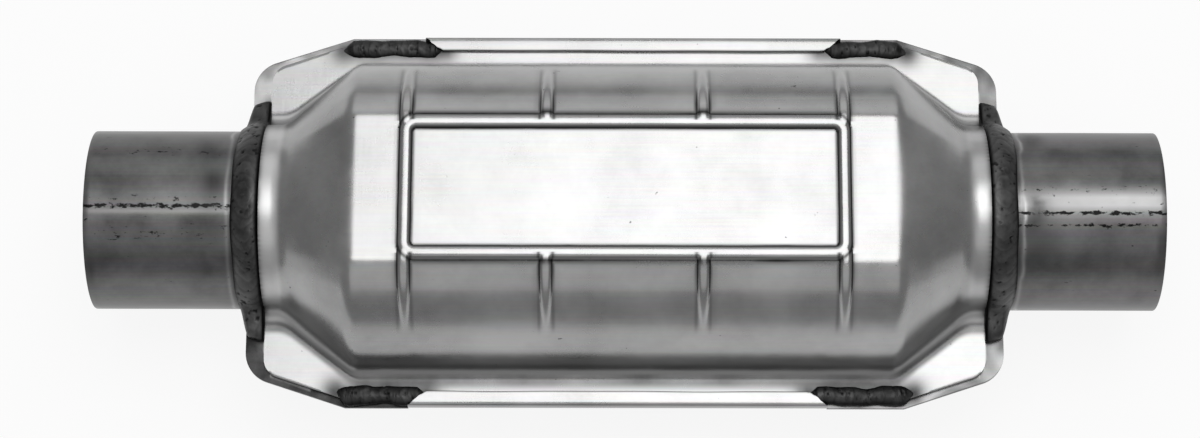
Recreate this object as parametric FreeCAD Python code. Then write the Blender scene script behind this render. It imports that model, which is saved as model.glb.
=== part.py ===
"""Catalytic converter with a welded clamshell body, in millimetres.

Frame: X runs along the pipes from the inlet (-X) to the outlet (+X), Z is up through
the ribbed top, and the origin is on the pipe axis at mid-length. The two half shells
are the same pressing, mirrored about the seam plane Z = 0. The lower one has a wider
flange, which is folded over the upper's along both long sides.
"""
import FreeCAD, Part
import math
import os

from FreeCAD import Vector

# ---- Sheet and body pressing --------------------------------------------------------
SHEET = 1.5                  # stainless sheet of both shells
BODY_HALF_HEIGHT = 41.0      # seam plane to the outside of the flat top
WALL_HALF_WIDTH = 49.5       # outside of the side wall, measured at the seam plane
WALL_DRAFT = 5.6             # degrees the side wall leans in
WALL_HEIGHT = 10.0           # where the straight wall turns into the rounded shoulder
FLAT_HALF_WIDTH = 24.0       # half the flat top, to its bend line
STRAIGHT_HALF_LENGTH = 85.5  # mid-length to the fold where the cone starts
CONE_LENGTH = 22.5           # fold to the point where the cone meets the collar
COLLAR_LENGTH = 6.5          # straight half collar round the pipe
CONE_BEND = 3.0              # half the length of the bend from cone to collar
CONE_STRIPS = 4              # strips that the straight part of a cone is lofted in
NECK_CROWN_ANGLE = 32.0      # degrees, half the crown where it reaches the collar
NECK_WALL_DRAFT = 12.0       # degrees from upright where the collar meets its fillet
WALL_FILLET = 4.0            # outside fillet from side wall to flange
NECK_FILLET = 6.0            # the same fillet at the collar

# ---- Flange and hem -----------------------------------------------------------------
FLANGE_WIDTH = 11.8          # wall at the seam plane to the outside of the hem
FLANGE_SLANT = 18.3          # degrees the corner edges run in
SLANT_START = 3.0            # fold line to the start of the slanted edge
LOWER_EAR = 6.0              # how far the lower flange stands past the collars
LOWER_CORNER_RADIUS = 10.0
UPPER_CORNER_RADIUS = 6.0
EAR_NECK_GAP = 1.2           # neck fillet to the inner edge of the lower ears
HEM_BAND = 4.9               # visible width of the folded lip
HEM_CUT = 6.0                # how far the slanted hem ends run along X
HEM_SETBACKS = {             # fold line back to the hem's end, at each corner
    ("inlet", "rear"): 20.5,
    ("inlet", "front"): 17.0,
    ("outlet", "rear"): 15.5,
    ("outlet", "front"): 21.5,
}

# ---- Stiffening beads ---------------------------------------------------------------
BEAD_HEIGHT = 1.6            # how far a bead stands out of the shell
BEAD_WIDTH = 4.2
BEAD_EDGE_GAP = 0.9          # bead edge to the bend line of the flat top
FRAME_END_GAP = 17.5         # fold line to the end bead of the frame
FRAME_CORNER_RADIUS = 2.6    # on the bead's centre line
CROSS_BEAD_X = 24.3          # the two inner cross beads
BEAD_FADE_Z = 25.0           # height at which a cross bead runs out on the shoulder
BEAD_SIDES = 8               # flats round a whole bead's section
GROOVE_WIDTH = 2.2           # the bead's hollow on the inside of the sheet
GROOVE_DEPTH = 0.9

# ---- Pipes and welds ----------------------------------------------------------------
PIPE_DIAMETER = 57.15
PIPE_WALL = 1.6
PIPE_STUB = 55.0             # end of the collar to the end of the pipe
PIPE_INSERTION = 8.5         # length of pipe inside the collar
COLLAR_CLEARANCE = 0.6       # radial gap between pipe and collar
NECK_WELD_LEG = 10.3         # along the pipe
NECK_WELD_RISE = 1.0         # over the outside of the collar
SEAM_LUMP = Vector(6.8, 11.0, 4.6)     # build-up at the seam: half width, reach, half height
CORNER_WELD_RADIUS = 2.6
CORNER_WELD_LIFT = 0.5       # bead centre above the seam plane
CORNER_WELD_KNOB = 1.15      # how much thicker the bead is at the flange's bend
CORNER_WELD_RUN = 2.5        # how far the bead follows the slanted edge

# ---- Inside -------------------------------------------------------------------------
BRICK_GAP = 12.0             # between the two bricks
BRICK_SETBACK = 4.5          # fold line to the outer face of a brick
MAT_THICKNESS = 4.5
SEAL_LENGTH = 6.0            # wire-mesh ring at each end of a mat
RETAINER_SHEET = 1.0         # angled ring that covers a brick's outer seal
RETAINER_BAND = 3.0          # its band along the shell
RETAINER_OVERLAP = 1.5       # how far its plate reaches over the brick's edge

# ---- Derived ------------------------------------------------------------------------
PIPE_RADIUS = PIPE_DIAMETER / 2
PIPE_BORE = PIPE_RADIUS - PIPE_WALL
COLLAR_RADIUS = PIPE_RADIUS + COLLAR_CLEARANCE + SHEET
COLLAR_END = STRAIGHT_HALF_LENGTH + CONE_LENGTH + COLLAR_LENGTH
PIPE_END = COLLAR_END + PIPE_STUB
PIPE_INNER_END = COLLAR_END - PIPE_INSERTION
HEM_RADIUS = 1.5 * SHEET     # outside of the fold, with the upper flange in it
LOWER_EDGE = WALL_HALF_WIDTH + FLANGE_WIDTH
UPPER_EDGE = LOWER_EDGE - HEM_RADIUS
FLANGE_BLANK = LOWER_EDGE + 8.0
EAR_END = COLLAR_END + LOWER_EAR
FRAME_HALF_LENGTH = STRAIGHT_HALF_LENGTH - FRAME_END_GAP
FRAME_HALF_WIDTH = FLAT_HALF_WIDTH - BEAD_EDGE_GAP - BEAD_WIDTH / 2
BEAD_RADIUS = (BEAD_WIDTH ** 2 / 4 + BEAD_HEIGHT ** 2) / (2 * BEAD_HEIGHT)
BEAD_DEPTH = BEAD_RADIUS - BEAD_HEIGHT
CROSS_BEADS = (-FRAME_HALF_LENGTH, -CROSS_BEAD_X, CROSS_BEAD_X, FRAME_HALF_LENGTH)
BRICK_INSET = SHEET + MAT_THICKNESS
BRICK_OUTER = STRAIGHT_HALF_LENGTH - BRICK_SETBACK
BRICK_INNER = BRICK_GAP / 2

ENDS = {"inlet": -1, "outlet": 1}
SIDES = {"front": -1, "rear": 1}


class Section:
    """Cross-section of one pressing: crown, rounded shoulder, drafted wall and fillet.

    Angles are in degrees. Everything is for the sheet's outside, on the +Y side; a
    piece further in uses the same section with an inset.
    """

    def __init__(self, centre_y, centre_z, radius, corner_z, crown_slope, draft, fillet):
        self.values = (centre_y, centre_z, radius, corner_z, crown_slope, draft, fillet)
        self.centre_y = centre_y
        self.centre_z = centre_z
        self.radius = radius
        self.corner_z = corner_z
        self.crown_slope = math.radians(crown_slope)
        self.draft = math.radians(draft)
        self.fillet = fillet

    def towards(self, other, share):
        """The section a share of the way to another."""
        pairs = zip(self.values, other.values)
        return Section(*[a + (b - a) * share for a, b in pairs])

    def shoulder_point(self, inset, angle):
        """Point of the shoulder's arc at an angle from straight up."""
        reach = self.radius - inset
        return (self.centre_y + reach * math.sin(angle),
                self.centre_z + reach * math.cos(angle))

    def corner_angle(self, inset):
        """Angle at which the shoulder's arc meets the crown."""
        height = self.corner_z - inset * math.cos(self.crown_slope)
        return math.acos((height - self.centre_z) / (self.radius - inset))

    def wall_angle(self):
        """Angle at which the shoulder's arc meets the straight wall."""
        return math.pi / 2 - self.draft

    def fillet_centre(self):
        """Centre of the fillet between wall and flange."""
        wall_y, wall_z = self.shoulder_point(0, self.wall_angle())
        centre_z = SHEET + self.fillet
        rise = (centre_z - wall_z) * math.sin(self.draft)
        return wall_y + (self.fillet - rise) / math.cos(self.draft), centre_z


def body_section():
    """Section of the straight body: a flat crown and an arc tangent to the wall."""
    draft = math.radians(WALL_DRAFT)
    wall_y = WALL_HALF_WIDTH - WALL_HEIGHT * math.tan(draft)
    run_y = wall_y - FLAT_HALF_WIDTH
    run_z = WALL_HEIGHT - BODY_HALF_HEIGHT
    across = run_y * math.cos(draft) + run_z * math.sin(draft)
    radius = (run_y ** 2 + run_z ** 2) / (2 * across)
    centre_y = wall_y - radius * math.cos(draft)
    centre_z = WALL_HEIGHT - radius * math.sin(draft)
    return Section(centre_y, centre_z, radius, BODY_HALF_HEIGHT, 0, WALL_DRAFT, WALL_FILLET)


def neck_section():
    """Section of the half collar: a circle about the pipe, with a fillet to the flange."""
    corner_z = COLLAR_RADIUS * math.cos(math.radians(NECK_CROWN_ANGLE))
    return Section(0, 0, COLLAR_RADIUS, corner_z, NECK_CROWN_ANGLE, NECK_WALL_DRAFT,
                   NECK_FILLET)


BODY = body_section()
NECK = neck_section()


# ---- Wires across the body ----------------------------------------------------------
def place(x, side, point):
    """A (y, z) point of the +Y side, at X and on the wanted side."""
    return Vector(x, side * point[0], point[1])


def line(start, end):
    """Straight edge."""
    return Part.LineSegment(start, end).toShape()


def arc(start, middle, end):
    """Arc edge through three points."""
    return Part.Arc(start, middle, end).toShape()


def crown_edge(section, inset, x, turned=1):
    """Top of a section, from the -Y corner to the +Y corner: a line or a low arc."""
    corner = section.shoulder_point(inset, section.corner_angle(inset))
    start = Vector(x, -corner[0], turned * corner[1])
    end = Vector(x, corner[0], turned * corner[1])
    sag = corner[0] * math.tan(section.crown_slope / 2)
    if sag < 1e-6:
        return line(start, end)
    return arc(start, Vector(x, 0, turned * (corner[1] + sag)), end)


def shoulder_edge(section, inset, x, side, turned=1):
    """Arc from the crown's corner to the straight wall."""
    first = section.corner_angle(inset)
    last = section.wall_angle()
    points = [section.shoulder_point(inset, a) for a in (first, (first + last) / 2, last)]
    return arc(*[Vector(x, side * y, turned * z) for y, z in points])


def pressed_side(section, inset, x, side):
    """One side of the sheet's surface, from the crown's corner to the flange's edge."""
    centre_y, centre_z = section.fillet_centre()
    reach = section.fillet + inset
    turns = (section.draft, section.draft / 2 + math.pi / 4, math.pi / 2)
    bend = [(centre_y - reach * math.cos(a), centre_z - reach * math.sin(a)) for a in turns]
    wall_top = section.shoulder_point(inset, section.wall_angle())
    foot = [place(x, side, point) for point in bend]
    return [
        shoulder_edge(section, inset, x, side),
        line(place(x, side, wall_top), foot[0]),
        arc(*foot),
        line(foot[2], place(x, side, (FLANGE_BLANK, SHEET - inset))),
    ]


def sheet_wire(section, x):
    """Closed outline of the sheet at X: outside, flange edges and inside."""
    edges = []
    for inset, direction in ((0, 1), (SHEET, -1)):
        run = pressed_side(section, inset, x, -1)[::-1]
        run.append(crown_edge(section, inset, x))
        run += pressed_side(section, inset, x, 1)
        edges += run[::direction]
        end_y = direction * FLANGE_BLANK
        edges.append(line(Vector(x, end_y, SHEET - inset), Vector(x, end_y, inset)))
    return Part.Wire(edges)


def oval_wire(section, inset, x):
    """Closed oval at X that follows the inside of both pressings."""
    wall_top = section.shoulder_point(inset, section.wall_angle())
    seam_y = wall_top[0] + wall_top[1] * math.tan(section.draft)
    edges = [crown_edge(section, inset, x)]
    for side, turned in ((1, 1), (1, -1), (-1, -1), (-1, 1)):
        wall = line(Vector(x, side * wall_top[0], turned * wall_top[1]),
                    Vector(x, side * seam_y, 0))
        pair = [shoulder_edge(section, inset, x, side, turned), wall]
        edges += pair if side * turned > 0 else pair[::-1]
        if side > 0 > turned:
            edges.append(crown_edge(section, inset, x, turned))
    return Part.Wire(edges)


def cone_share(distance):
    """How much of the cone is done at a distance past the fold, with a rounded end."""
    left = CONE_LENGTH + CONE_BEND - distance
    if left >= 2 * CONE_BEND:
        return distance / CONE_LENGTH
    return 1 - max(left, 0) ** 2 / (4 * CONE_BEND * CONE_LENGTH)


def cone_stations(last):
    """Distances past the fold at which the cone's sections stand."""
    bend = CONE_LENGTH - CONE_BEND
    straight = [bend * step / CONE_STRIPS for step in range(CONE_STRIPS)]
    return straight + [bend, CONE_LENGTH, CONE_LENGTH + CONE_BEND, last]


def oval_solid(inset, start, end):
    """Straight oval block between two X."""
    face = Part.Face(oval_wire(BODY, inset, start))
    return face.extrude(Vector(end - start, 0, 0))


def mirrored(shape, end):
    """The piece for one end of the converter, from the one drawn for the outlet."""
    if end > 0:
        return shape
    return shape.mirror(Vector(0, 0, 0), Vector(1, 0, 0))


# ---- Half shells --------------------------------------------------------------------
def cone_sheet():
    """Sheet of the outlet cone and collar, with the flange still a wide blank."""
    past_fold = EAR_END - STRAIGHT_HALF_LENGTH
    wires = []
    for distance in cone_stations(past_fold):
        section = BODY.towards(NECK, cone_share(distance))
        wires.append(sheet_wire(section, STRAIGHT_HALF_LENGTH + distance))
    return Part.makeLoft(wires, True, True)


def bead_profile(point, tangent):
    """Faceted round section of a bead, square to its path and with a flat uppermost."""
    up = Vector(0, 0, 1)
    across = tangent.cross(up)
    reach = BEAD_RADIUS / math.cos(math.pi / BEAD_SIDES)
    corners = []
    for step in range(BEAD_SIDES + 1):
        angle = math.pi * (2 * step + 1) / BEAD_SIDES
        corners.append(point + up * (reach * math.cos(angle)) + across * (reach * math.sin(angle)))
    return Part.makePolygon(corners)


def frame_rod():
    """Rod of the rectangular bead on the flat top."""
    x = FRAME_HALF_LENGTH
    y = FRAME_HALF_WIDTH
    r = FRAME_CORNER_RADIUS
    z = BODY_HALF_HEIGHT - BEAD_DEPTH
    edges = []
    for end, side in ((1, 1), (-1, 1), (-1, -1), (1, -1)):
        along = Vector(end * x, side * (y - r), z)
        across = Vector(end * (x - r), side * y, z)
        diagonal = r * (1 - math.sqrt(0.5))
        middle = Vector(end * (x - diagonal), side * (y - diagonal), z)
        run = [arc(along, middle, across), line(across, Vector(-across.x, across.y, z))]
        turn = [arc(across, middle, along), line(along, Vector(along.x, -along.y, z))]
        edges += run if end * side > 0 else turn
    path = Part.Wire(edges)
    start = Vector(x, y - r, z)
    profile = bead_profile(start, Vector(0, 1, 0))
    return path.makePipeShell([profile], True, False)


def fade_angle():
    """Angle on the shoulder at which a cross bead runs out."""
    return math.acos((BEAD_FADE_Z - BODY.centre_z) / BODY.radius)


def cross_rod(x, side):
    """Rod of one cross bead, from the frame down the shoulder to where it fades out."""
    start_angle = BODY.corner_angle(BEAD_DEPTH)
    middle_angle = (start_angle + fade_angle()) / 2
    corner = place(x, side, BODY.shoulder_point(BEAD_DEPTH, start_angle))
    middle = place(x, side, BODY.shoulder_point(BEAD_DEPTH + BEAD_HEIGHT / 4, middle_angle))
    fade = place(x, side, BODY.shoulder_point(BEAD_RADIUS, fade_angle()))
    start = Vector(x, side * FRAME_HALF_WIDTH, corner.z)
    path = Part.Wire([line(start, corner), arc(corner, middle, fade)])
    return path.makePipeShell([bead_profile(start, Vector(0, side, 0))], True, False, 1)


def beads():
    """Every bead of one pressing as a bundle of rods."""
    rods = [cross_rod(x, side) for x in CROSS_BEADS for side in (-1, 1)]
    return frame_rod().fuse(rods)


def grooves():
    """Hollows that the beads leave on the inside of the sheet."""
    top = BODY_HALF_HEIGHT - SHEET + GROOVE_DEPTH
    half = GROOVE_WIDTH / 2
    rings = []
    for grow in (half, -half):
        x = FRAME_HALF_LENGTH + grow
        y = FRAME_HALF_WIDTH + grow
        rings.append(Part.makeBox(2 * x, 2 * y, 2 * SHEET, Vector(-x, -y, top - 2 * SHEET)))
    frame = rings[0].cut(rings[1])
    fade_y, fade_z = BODY.shoulder_point(SHEET, fade_angle())
    keep = Part.makeBox(2 * FRAME_HALF_LENGTH + GROOVE_WIDTH, fade_y - FRAME_HALF_WIDTH,
                        BODY_HALF_HEIGHT)
    keep.translate(Vector(-FRAME_HALF_LENGTH - half, FRAME_HALF_WIDTH, fade_z - SHEET))
    keep = keep.fuse(keep.mirror(Vector(0, 0, 0), Vector(0, 1, 0)))
    cross = [oval_solid(SHEET - GROOVE_DEPTH, x - half, x + half) for x in CROSS_BEADS]
    return frame.fuse(Part.makeCompound(cross).common(keep))


def outline(edge, slant_start, end_x, corner_radius, notch_x, notch_y):
    """Plan outline of a flange as a tall prism. The collars end at notch_x."""
    slope = math.tan(math.radians(FLANGE_SLANT))
    corner_y = edge - (end_x - slant_start) * slope
    trim = corner_radius * math.tan((math.pi / 2 - math.radians(FLANGE_SLANT)) / 2)
    run = math.radians(FLANGE_SLANT)
    before = Vector(end_x - trim * math.cos(run), corner_y + trim * math.sin(run), 0)
    after = Vector(end_x, corner_y - trim, 0)
    centre = Vector(end_x - corner_radius, corner_y - trim, 0)
    half = run / 2 + math.pi / 4
    middle = centre + Vector(math.sin(half), math.cos(half), 0).multiply(corner_radius)
    quarter = [line(Vector(0, edge, 0), Vector(slant_start, edge, 0)),
               line(Vector(slant_start, edge, 0), before),
               arc(before, middle, after)]
    if end_x > notch_x:
        quarter += [line(after, Vector(end_x, notch_y, 0)),
                    line(Vector(end_x, notch_y, 0), Vector(notch_x, notch_y, 0)),
                    line(Vector(notch_x, notch_y, 0), Vector(notch_x, 0, 0))]
    else:
        quarter.append(line(after, Vector(end_x, 0, 0)))
    half_wire = Part.Wire(quarter)
    other = half_wire.mirror(Vector(0, 0, 0), Vector(0, 1, 0))
    right = Part.Wire(Part.__sortEdges__(half_wire.Edges + other.Edges))
    left = right.mirror(Vector(0, 0, 0), Vector(1, 0, 0))
    whole = Part.Wire(Part.__sortEdges__(right.Edges + left.Edges))
    height = BODY_HALF_HEIGHT + BEAD_HEIGHT + 1
    prism = Part.Face(whole).extrude(Vector(0, 0, height + 1))
    prism.translate(Vector(0, 0, -1))
    return prism


def pressing(edge, end_x, corner_radius):
    """One half shell as pressed and trimmed, crown up, flange on the seam plane."""
    straight = Part.Face(sheet_wire(BODY, -STRAIGHT_HALF_LENGTH))
    straight = straight.extrude(Vector(2 * STRAIGHT_HALF_LENGTH, 0, 0))
    cone = cone_sheet()
    notch_y = NECK.fillet_centre()[0] + EAR_NECK_GAP
    trim = outline(edge, STRAIGHT_HALF_LENGTH + SLANT_START, end_x, corner_radius,
                   COLLAR_END, notch_y)
    core = oval_solid(SHEET / 2, -STRAIGHT_HALF_LENGTH, STRAIGHT_HALF_LENGTH)
    shell = straight.fuse(beads().cut(core)).cut(grooves())
    shell = shell.fuse([cone, mirrored(cone, -1)]).common(trim)
    return shell.removeSplitter()


def hem_wire(x):
    """Section of the folded edge on the +Y side: flange, fold and lip."""
    fold_y = LOWER_EDGE - HEM_RADIUS
    lip_y = LOWER_EDGE - HEM_BAND
    inner = HEM_RADIUS - SHEET
    middle_z = SHEET / 2
    return Part.Wire([
        line(Vector(x, fold_y, -SHEET), Vector(x, fold_y, 0)),
        arc(Vector(x, fold_y, 0), Vector(x, fold_y + inner, middle_z), Vector(x, fold_y, SHEET)),
        line(Vector(x, fold_y, SHEET), Vector(x, lip_y, SHEET)),
        line(Vector(x, lip_y, SHEET), Vector(x, lip_y, 2 * SHEET)),
        line(Vector(x, lip_y, 2 * SHEET), Vector(x, fold_y, 2 * SHEET)),
        arc(Vector(x, fold_y, 2 * SHEET), Vector(x, LOWER_EDGE, middle_z),
            Vector(x, fold_y, -SHEET)),
    ])


def hem_ends(side):
    """X of a hem's two ends, on the outside of the fold."""
    inlet = -(STRAIGHT_HALF_LENGTH - HEM_SETBACKS["inlet", side])
    outlet = STRAIGHT_HALF_LENGTH - HEM_SETBACKS["outlet", side]
    return inlet, outlet


def hem(side):
    """Folded edge along one side, with its ends cut on a slant."""
    start, end = hem_ends(side)
    long_hem = Part.Face(hem_wire(start)).extrude(Vector(end - start, 0, 0))
    inner_y = LOWER_EDGE - HEM_BAND
    ends = ((start, 1), (end, -1))
    for x, inward in ends:
        corner = [Vector(x, LOWER_EDGE, SHEET), Vector(x, inner_y, SHEET),
                  Vector(x + inward * HEM_CUT, inner_y, SHEET), Vector(x, LOWER_EDGE, SHEET)]
        wedge = Part.Face(Part.makePolygon(corner)).extrude(Vector(0, 0, 2 * SHEET))
        long_hem = long_hem.cut(wedge)
    if SIDES[side] < 0:
        long_hem = long_hem.mirror(Vector(0, 0, 0), Vector(0, 1, 0))
    return long_hem


def upper_shell():
    """Upper half: its flange sits inside the fold."""
    return pressing(UPPER_EDGE, COLLAR_END, UPPER_CORNER_RADIUS)


def lower_shell():
    """Lower half: wider flange, folded up and over along both long sides."""
    shell = pressing(LOWER_EDGE, EAR_END, LOWER_CORNER_RADIUS)
    shell = shell.mirror(Vector(0, 0, 0), Vector(0, 0, 1))
    for side, sign in SIDES.items():
        start, end = hem_ends(side)
        strip = Part.makeBox(end - start, HEM_RADIUS + 1, 2 * SHEET)
        strip.translate(Vector(start, LOWER_EDGE - HEM_RADIUS, -1.5 * SHEET))
        if sign < 0:
            strip = strip.mirror(Vector(0, 0, 0), Vector(0, 1, 0))
        shell = shell.cut(strip).fuse(hem(side))
    return shell.removeSplitter()


# ---- Pipes and welds ----------------------------------------------------------------
def pipe(end):
    """Plain tube, pushed into the collars."""
    length = PIPE_END - PIPE_INNER_END
    axis = Vector(1, 0, 0)
    start = Vector(PIPE_INNER_END, 0, 0)
    tube = Part.makeCylinder(PIPE_RADIUS, length, start, axis)
    return mirrored(tube.cut(Part.makeCylinder(PIPE_BORE, length, start, axis)), end)


def nugget(stations):
    """Lumpy run of weld metal in flat facets between eight-sided sections.

    Each station is a centre, the two half sizes of its section and the run's direction.
    """
    reach = 1 / math.cos(math.pi / 8)
    rings = []
    for centre, across, rise, along in stations:
        sideways = Vector(0, 0, 1).cross(along)
        rings.append([centre + sideways * (across * reach * math.sin(angle))
                      + Vector(0, 0, rise * reach * math.cos(angle))
                      for angle in [math.pi * (2 * step + 1) / 8 for step in range(8)]])
    faces = [Part.Face(Part.makePolygon(ring + ring[:1])) for ring in (rings[0], rings[-1])]
    for near, far in zip(rings, rings[1:]):
        for k in range(8):
            after = (k + 1) % 8
            for corners in ((near[k], near[after], far[k]), (near[after], far[after], far[k])):
                faces.append(Part.Face(Part.makePolygon(corners + corners[:1])))
    solid = Part.Solid(Part.Shell(faces))
    if solid.Volume < 0:
        solid.reverse()
    return solid.removeSplitter()


def seam_lump(side):
    """Build-up of the outlet neck weld where it crosses the flange on one side."""
    along = Vector(0, 1, 0)
    inner = PIPE_RADIUS - SEAM_LUMP.y / 4
    stations = []
    for share, size in ((0, 1), (0.45, 1), (0.75, 0.8), (1, 0.35)):
        y = side * (inner + share * (SEAM_LUMP.y + SEAM_LUMP.y / 4))
        centre = Vector(COLLAR_END + SEAM_LUMP.x * 0.2, y, SHEET * (1 - share))
        stations.append((centre, SEAM_LUMP.x * size, SEAM_LUMP.z * size, along))
    return nugget(stations)


def neck_weld(end, shells):
    """Bead between collar and pipe, built up where it crosses the seam."""
    top = COLLAR_RADIUS + NECK_WELD_RISE
    brow = COLLAR_END + 0.6 * NECK_WELD_LEG
    toe = COLLAR_END + NECK_WELD_LEG
    outline_points = ((COLLAR_END, PIPE_RADIUS), (COLLAR_END, top),
                      (brow, (top + PIPE_RADIUS) / 2 + 0.8), (toe, PIPE_RADIUS))
    corners = [Vector(x, 0, z) for x, z in outline_points]
    face = Part.Face(Part.makePolygon(corners + corners[:1]))
    bead = face.revolve(Vector(0, 0, 0), Vector(1, 0, 0), 360)
    collar_cut = Part.makeBox(COLLAR_END, 4 * LOWER_EDGE, 4 * BODY_HALF_HEIGHT,
                              Vector(0, -2 * LOWER_EDGE, -2 * BODY_HALF_HEIGHT))
    core = Part.makeCylinder(PIPE_RADIUS, PIPE_END, Vector(0, 0, 0), Vector(1, 0, 0))
    bead = bead.fuse([seam_lump(1), seam_lump(-1)]).cut([collar_cut, core])
    return mirrored(bead, end).cut(shells).removeSplitter()


def corner_weld(end, side, shells):
    """Bead from a hem's end to just past the flange's bend, thickest at the bend."""
    sign = ENDS[end]
    hem_x = abs(hem_ends(side)[0 if sign < 0 else 1])
    bend_x = STRAIGHT_HALF_LENGTH + SLANT_START
    radius = CORNER_WELD_RADIUS
    along = Vector(1, 0, 0)
    slope = math.tan(math.radians(FLANGE_SLANT))
    start = hem_x - HEM_CUT
    stop = bend_x + CORNER_WELD_RUN
    plan = ((start, 0.35), (start + 1, 0.8), (start + 3, 1), (bend_x - 9, 0.92),
            (bend_x - 6, 1), (bend_x - 2, CORNER_WELD_KNOB), (bend_x, 1), (stop, 0.5))
    stations = []
    for x, size in plan:
        y = LOWER_EDGE - radius * min(size, 1) - max(x - bend_x, 0) * slope
        rise = radius * size
        stations.append((Vector(x, y, CORNER_WELD_LIFT), radius * min(size, 1), rise, along))
    in_fold = Part.makeBox(HEM_CUT + 1, LOWER_EDGE - SHEET - UPPER_EDGE, SHEET,
                           Vector(start - 1, UPPER_EDGE, 0))
    bead = nugget(stations).cut(in_fold)
    if SIDES[side] < 0:
        bead = bead.mirror(Vector(0, 0, 0), Vector(0, 1, 0))
    below = Part.makeBox(4 * PIPE_END, 4 * LOWER_EDGE, BODY_HALF_HEIGHT,
                         Vector(-2 * PIPE_END, -2 * LOWER_EDGE, -BODY_HALF_HEIGHT))
    return mirrored(bead, sign).cut([below] + shells).removeSplitter()


# ---- Inside -------------------------------------------------------------------------
def brick(end):
    """Ceramic honeycomb block."""
    return mirrored(oval_solid(BRICK_INSET, BRICK_INNER, BRICK_OUTER), end)


def ring(end, start, stop):
    """Oval ring between the shells and a brick."""
    outer = oval_solid(SHEET, start, stop)
    return mirrored(outer.cut(oval_solid(BRICK_INSET, start, stop)), end)


def mat(end):
    """Fibre mat round a brick, between its two mesh seals."""
    return ring(end, BRICK_INNER + SEAL_LENGTH, BRICK_OUTER - SEAL_LENGTH)


def mesh_seal(end, outer):
    """Wire-mesh ring at one end of a mat."""
    start = BRICK_OUTER - SEAL_LENGTH if outer else BRICK_INNER
    return ring(end, start, start + SEAL_LENGTH)


def retainer(end):
    """Angled sheet ring that holds the outer mesh seal in and shields it from the gas."""
    rim = BRICK_OUTER + RETAINER_SHEET
    band_end = rim + RETAINER_BAND
    inner = BRICK_INSET + RETAINER_OVERLAP
    plate = oval_solid(SHEET, BRICK_OUTER, rim).cut(oval_solid(inner, BRICK_OUTER, rim))
    band = oval_solid(SHEET, BRICK_OUTER, band_end)
    band = band.cut(oval_solid(SHEET + RETAINER_SHEET, BRICK_OUTER, band_end))
    return mirrored(plate.fuse(band).removeSplitter(), end)


def build():
    """Every piece by name."""
    pieces = {"upper_shell": upper_shell(), "lower_shell": lower_shell()}
    shells = [pieces["upper_shell"], pieces["lower_shell"]]
    for name, end in ENDS.items():
        pieces[f"{name}_pipe"] = pipe(end)
        pieces[f"{name}_neck_weld"] = neck_weld(end, shells)
        for side in SIDES:
            pieces[f"{name}_{side}_corner_weld"] = corner_weld(name, side, shells)
        pieces[f"{name}_monolith"] = brick(end)
        pieces[f"{name}_mat"] = mat(end)
        pieces[f"{name}_outer_mesh_seal"] = mesh_seal(end, True)
        pieces[f"{name}_inner_mesh_seal"] = mesh_seal(end, False)
        pieces[f"{name}_seal_retainer"] = retainer(end)
    return pieces


os.makedirs("parts", exist_ok=True)
for piece_name, piece in build().items():
    piece.exportStep(f"parts/{piece_name}.step")
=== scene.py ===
"""Looks of a welded clamshell catalytic converter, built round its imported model.

Sizes are in millimetres in the classes and become metres when a mesh is made. X runs
along the pipes from the inlet (-X) to the outlet (+X), and Z is up through the ribbed top.
"""

import logging
import math
from collections.abc import Sequence
from dataclasses import astuple, dataclass, field
from enum import Enum
from typing import Any

import bpy
import numpy as np
from mathutils import Matrix, Vector


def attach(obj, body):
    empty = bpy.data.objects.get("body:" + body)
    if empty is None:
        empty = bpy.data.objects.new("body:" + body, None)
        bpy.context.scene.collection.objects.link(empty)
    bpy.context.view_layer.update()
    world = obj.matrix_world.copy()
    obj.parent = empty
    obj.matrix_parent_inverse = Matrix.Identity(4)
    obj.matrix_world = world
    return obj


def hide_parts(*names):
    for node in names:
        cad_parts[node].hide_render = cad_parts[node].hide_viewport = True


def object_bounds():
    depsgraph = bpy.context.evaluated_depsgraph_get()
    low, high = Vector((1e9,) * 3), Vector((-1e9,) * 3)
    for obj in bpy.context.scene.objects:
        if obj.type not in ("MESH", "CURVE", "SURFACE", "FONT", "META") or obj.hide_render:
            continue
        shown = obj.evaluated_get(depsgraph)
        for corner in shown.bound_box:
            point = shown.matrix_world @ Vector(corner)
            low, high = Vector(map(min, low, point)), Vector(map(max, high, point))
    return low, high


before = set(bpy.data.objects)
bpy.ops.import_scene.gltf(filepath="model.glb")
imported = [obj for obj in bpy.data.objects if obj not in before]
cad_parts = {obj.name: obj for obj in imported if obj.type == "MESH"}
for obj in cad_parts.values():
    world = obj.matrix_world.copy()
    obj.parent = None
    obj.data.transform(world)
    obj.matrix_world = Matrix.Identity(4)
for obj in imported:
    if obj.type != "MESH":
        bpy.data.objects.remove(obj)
CAD_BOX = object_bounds()

MM = 0.001
LOG = logging.getLogger("converter")

Faces = Sequence[Sequence[int]]
# a Mix node's colour inputs, which share their names with its other inputs
UNDER, OVER = 6, 7


class End(Enum):
    """Which end of the converter a piece is at, with its sign along X."""

    INLET = -1
    OUTLET = 1

    def node(self, piece: str) -> str:
        """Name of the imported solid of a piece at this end."""
        return f"{self.name.lower()}_{piece}"


class Side(Enum):
    """Which long side a piece is on, with its sign along Y."""

    FRONT = -1
    REAR = 1


# ---- Small tools -----------------------------------------------------------------------
def linear(code: str) -> tuple[float, float, float, float]:
    """Turn an sRGB hex colour into linear RGBA.

    Args:
        code: Six hex digits with a leading hash.

    Returns:
        The colour as linear red, green, blue and an alpha of 1.
    """
    parts = [int(code[i:i + 2], 16) / 255 for i in (1, 3, 5)]
    red, green, blue = [c / 12.92 if c <= 0.04045 else ((c + 0.055) / 1.055) ** 2.4 for c in parts]
    return red, green, blue, 1.0


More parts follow.
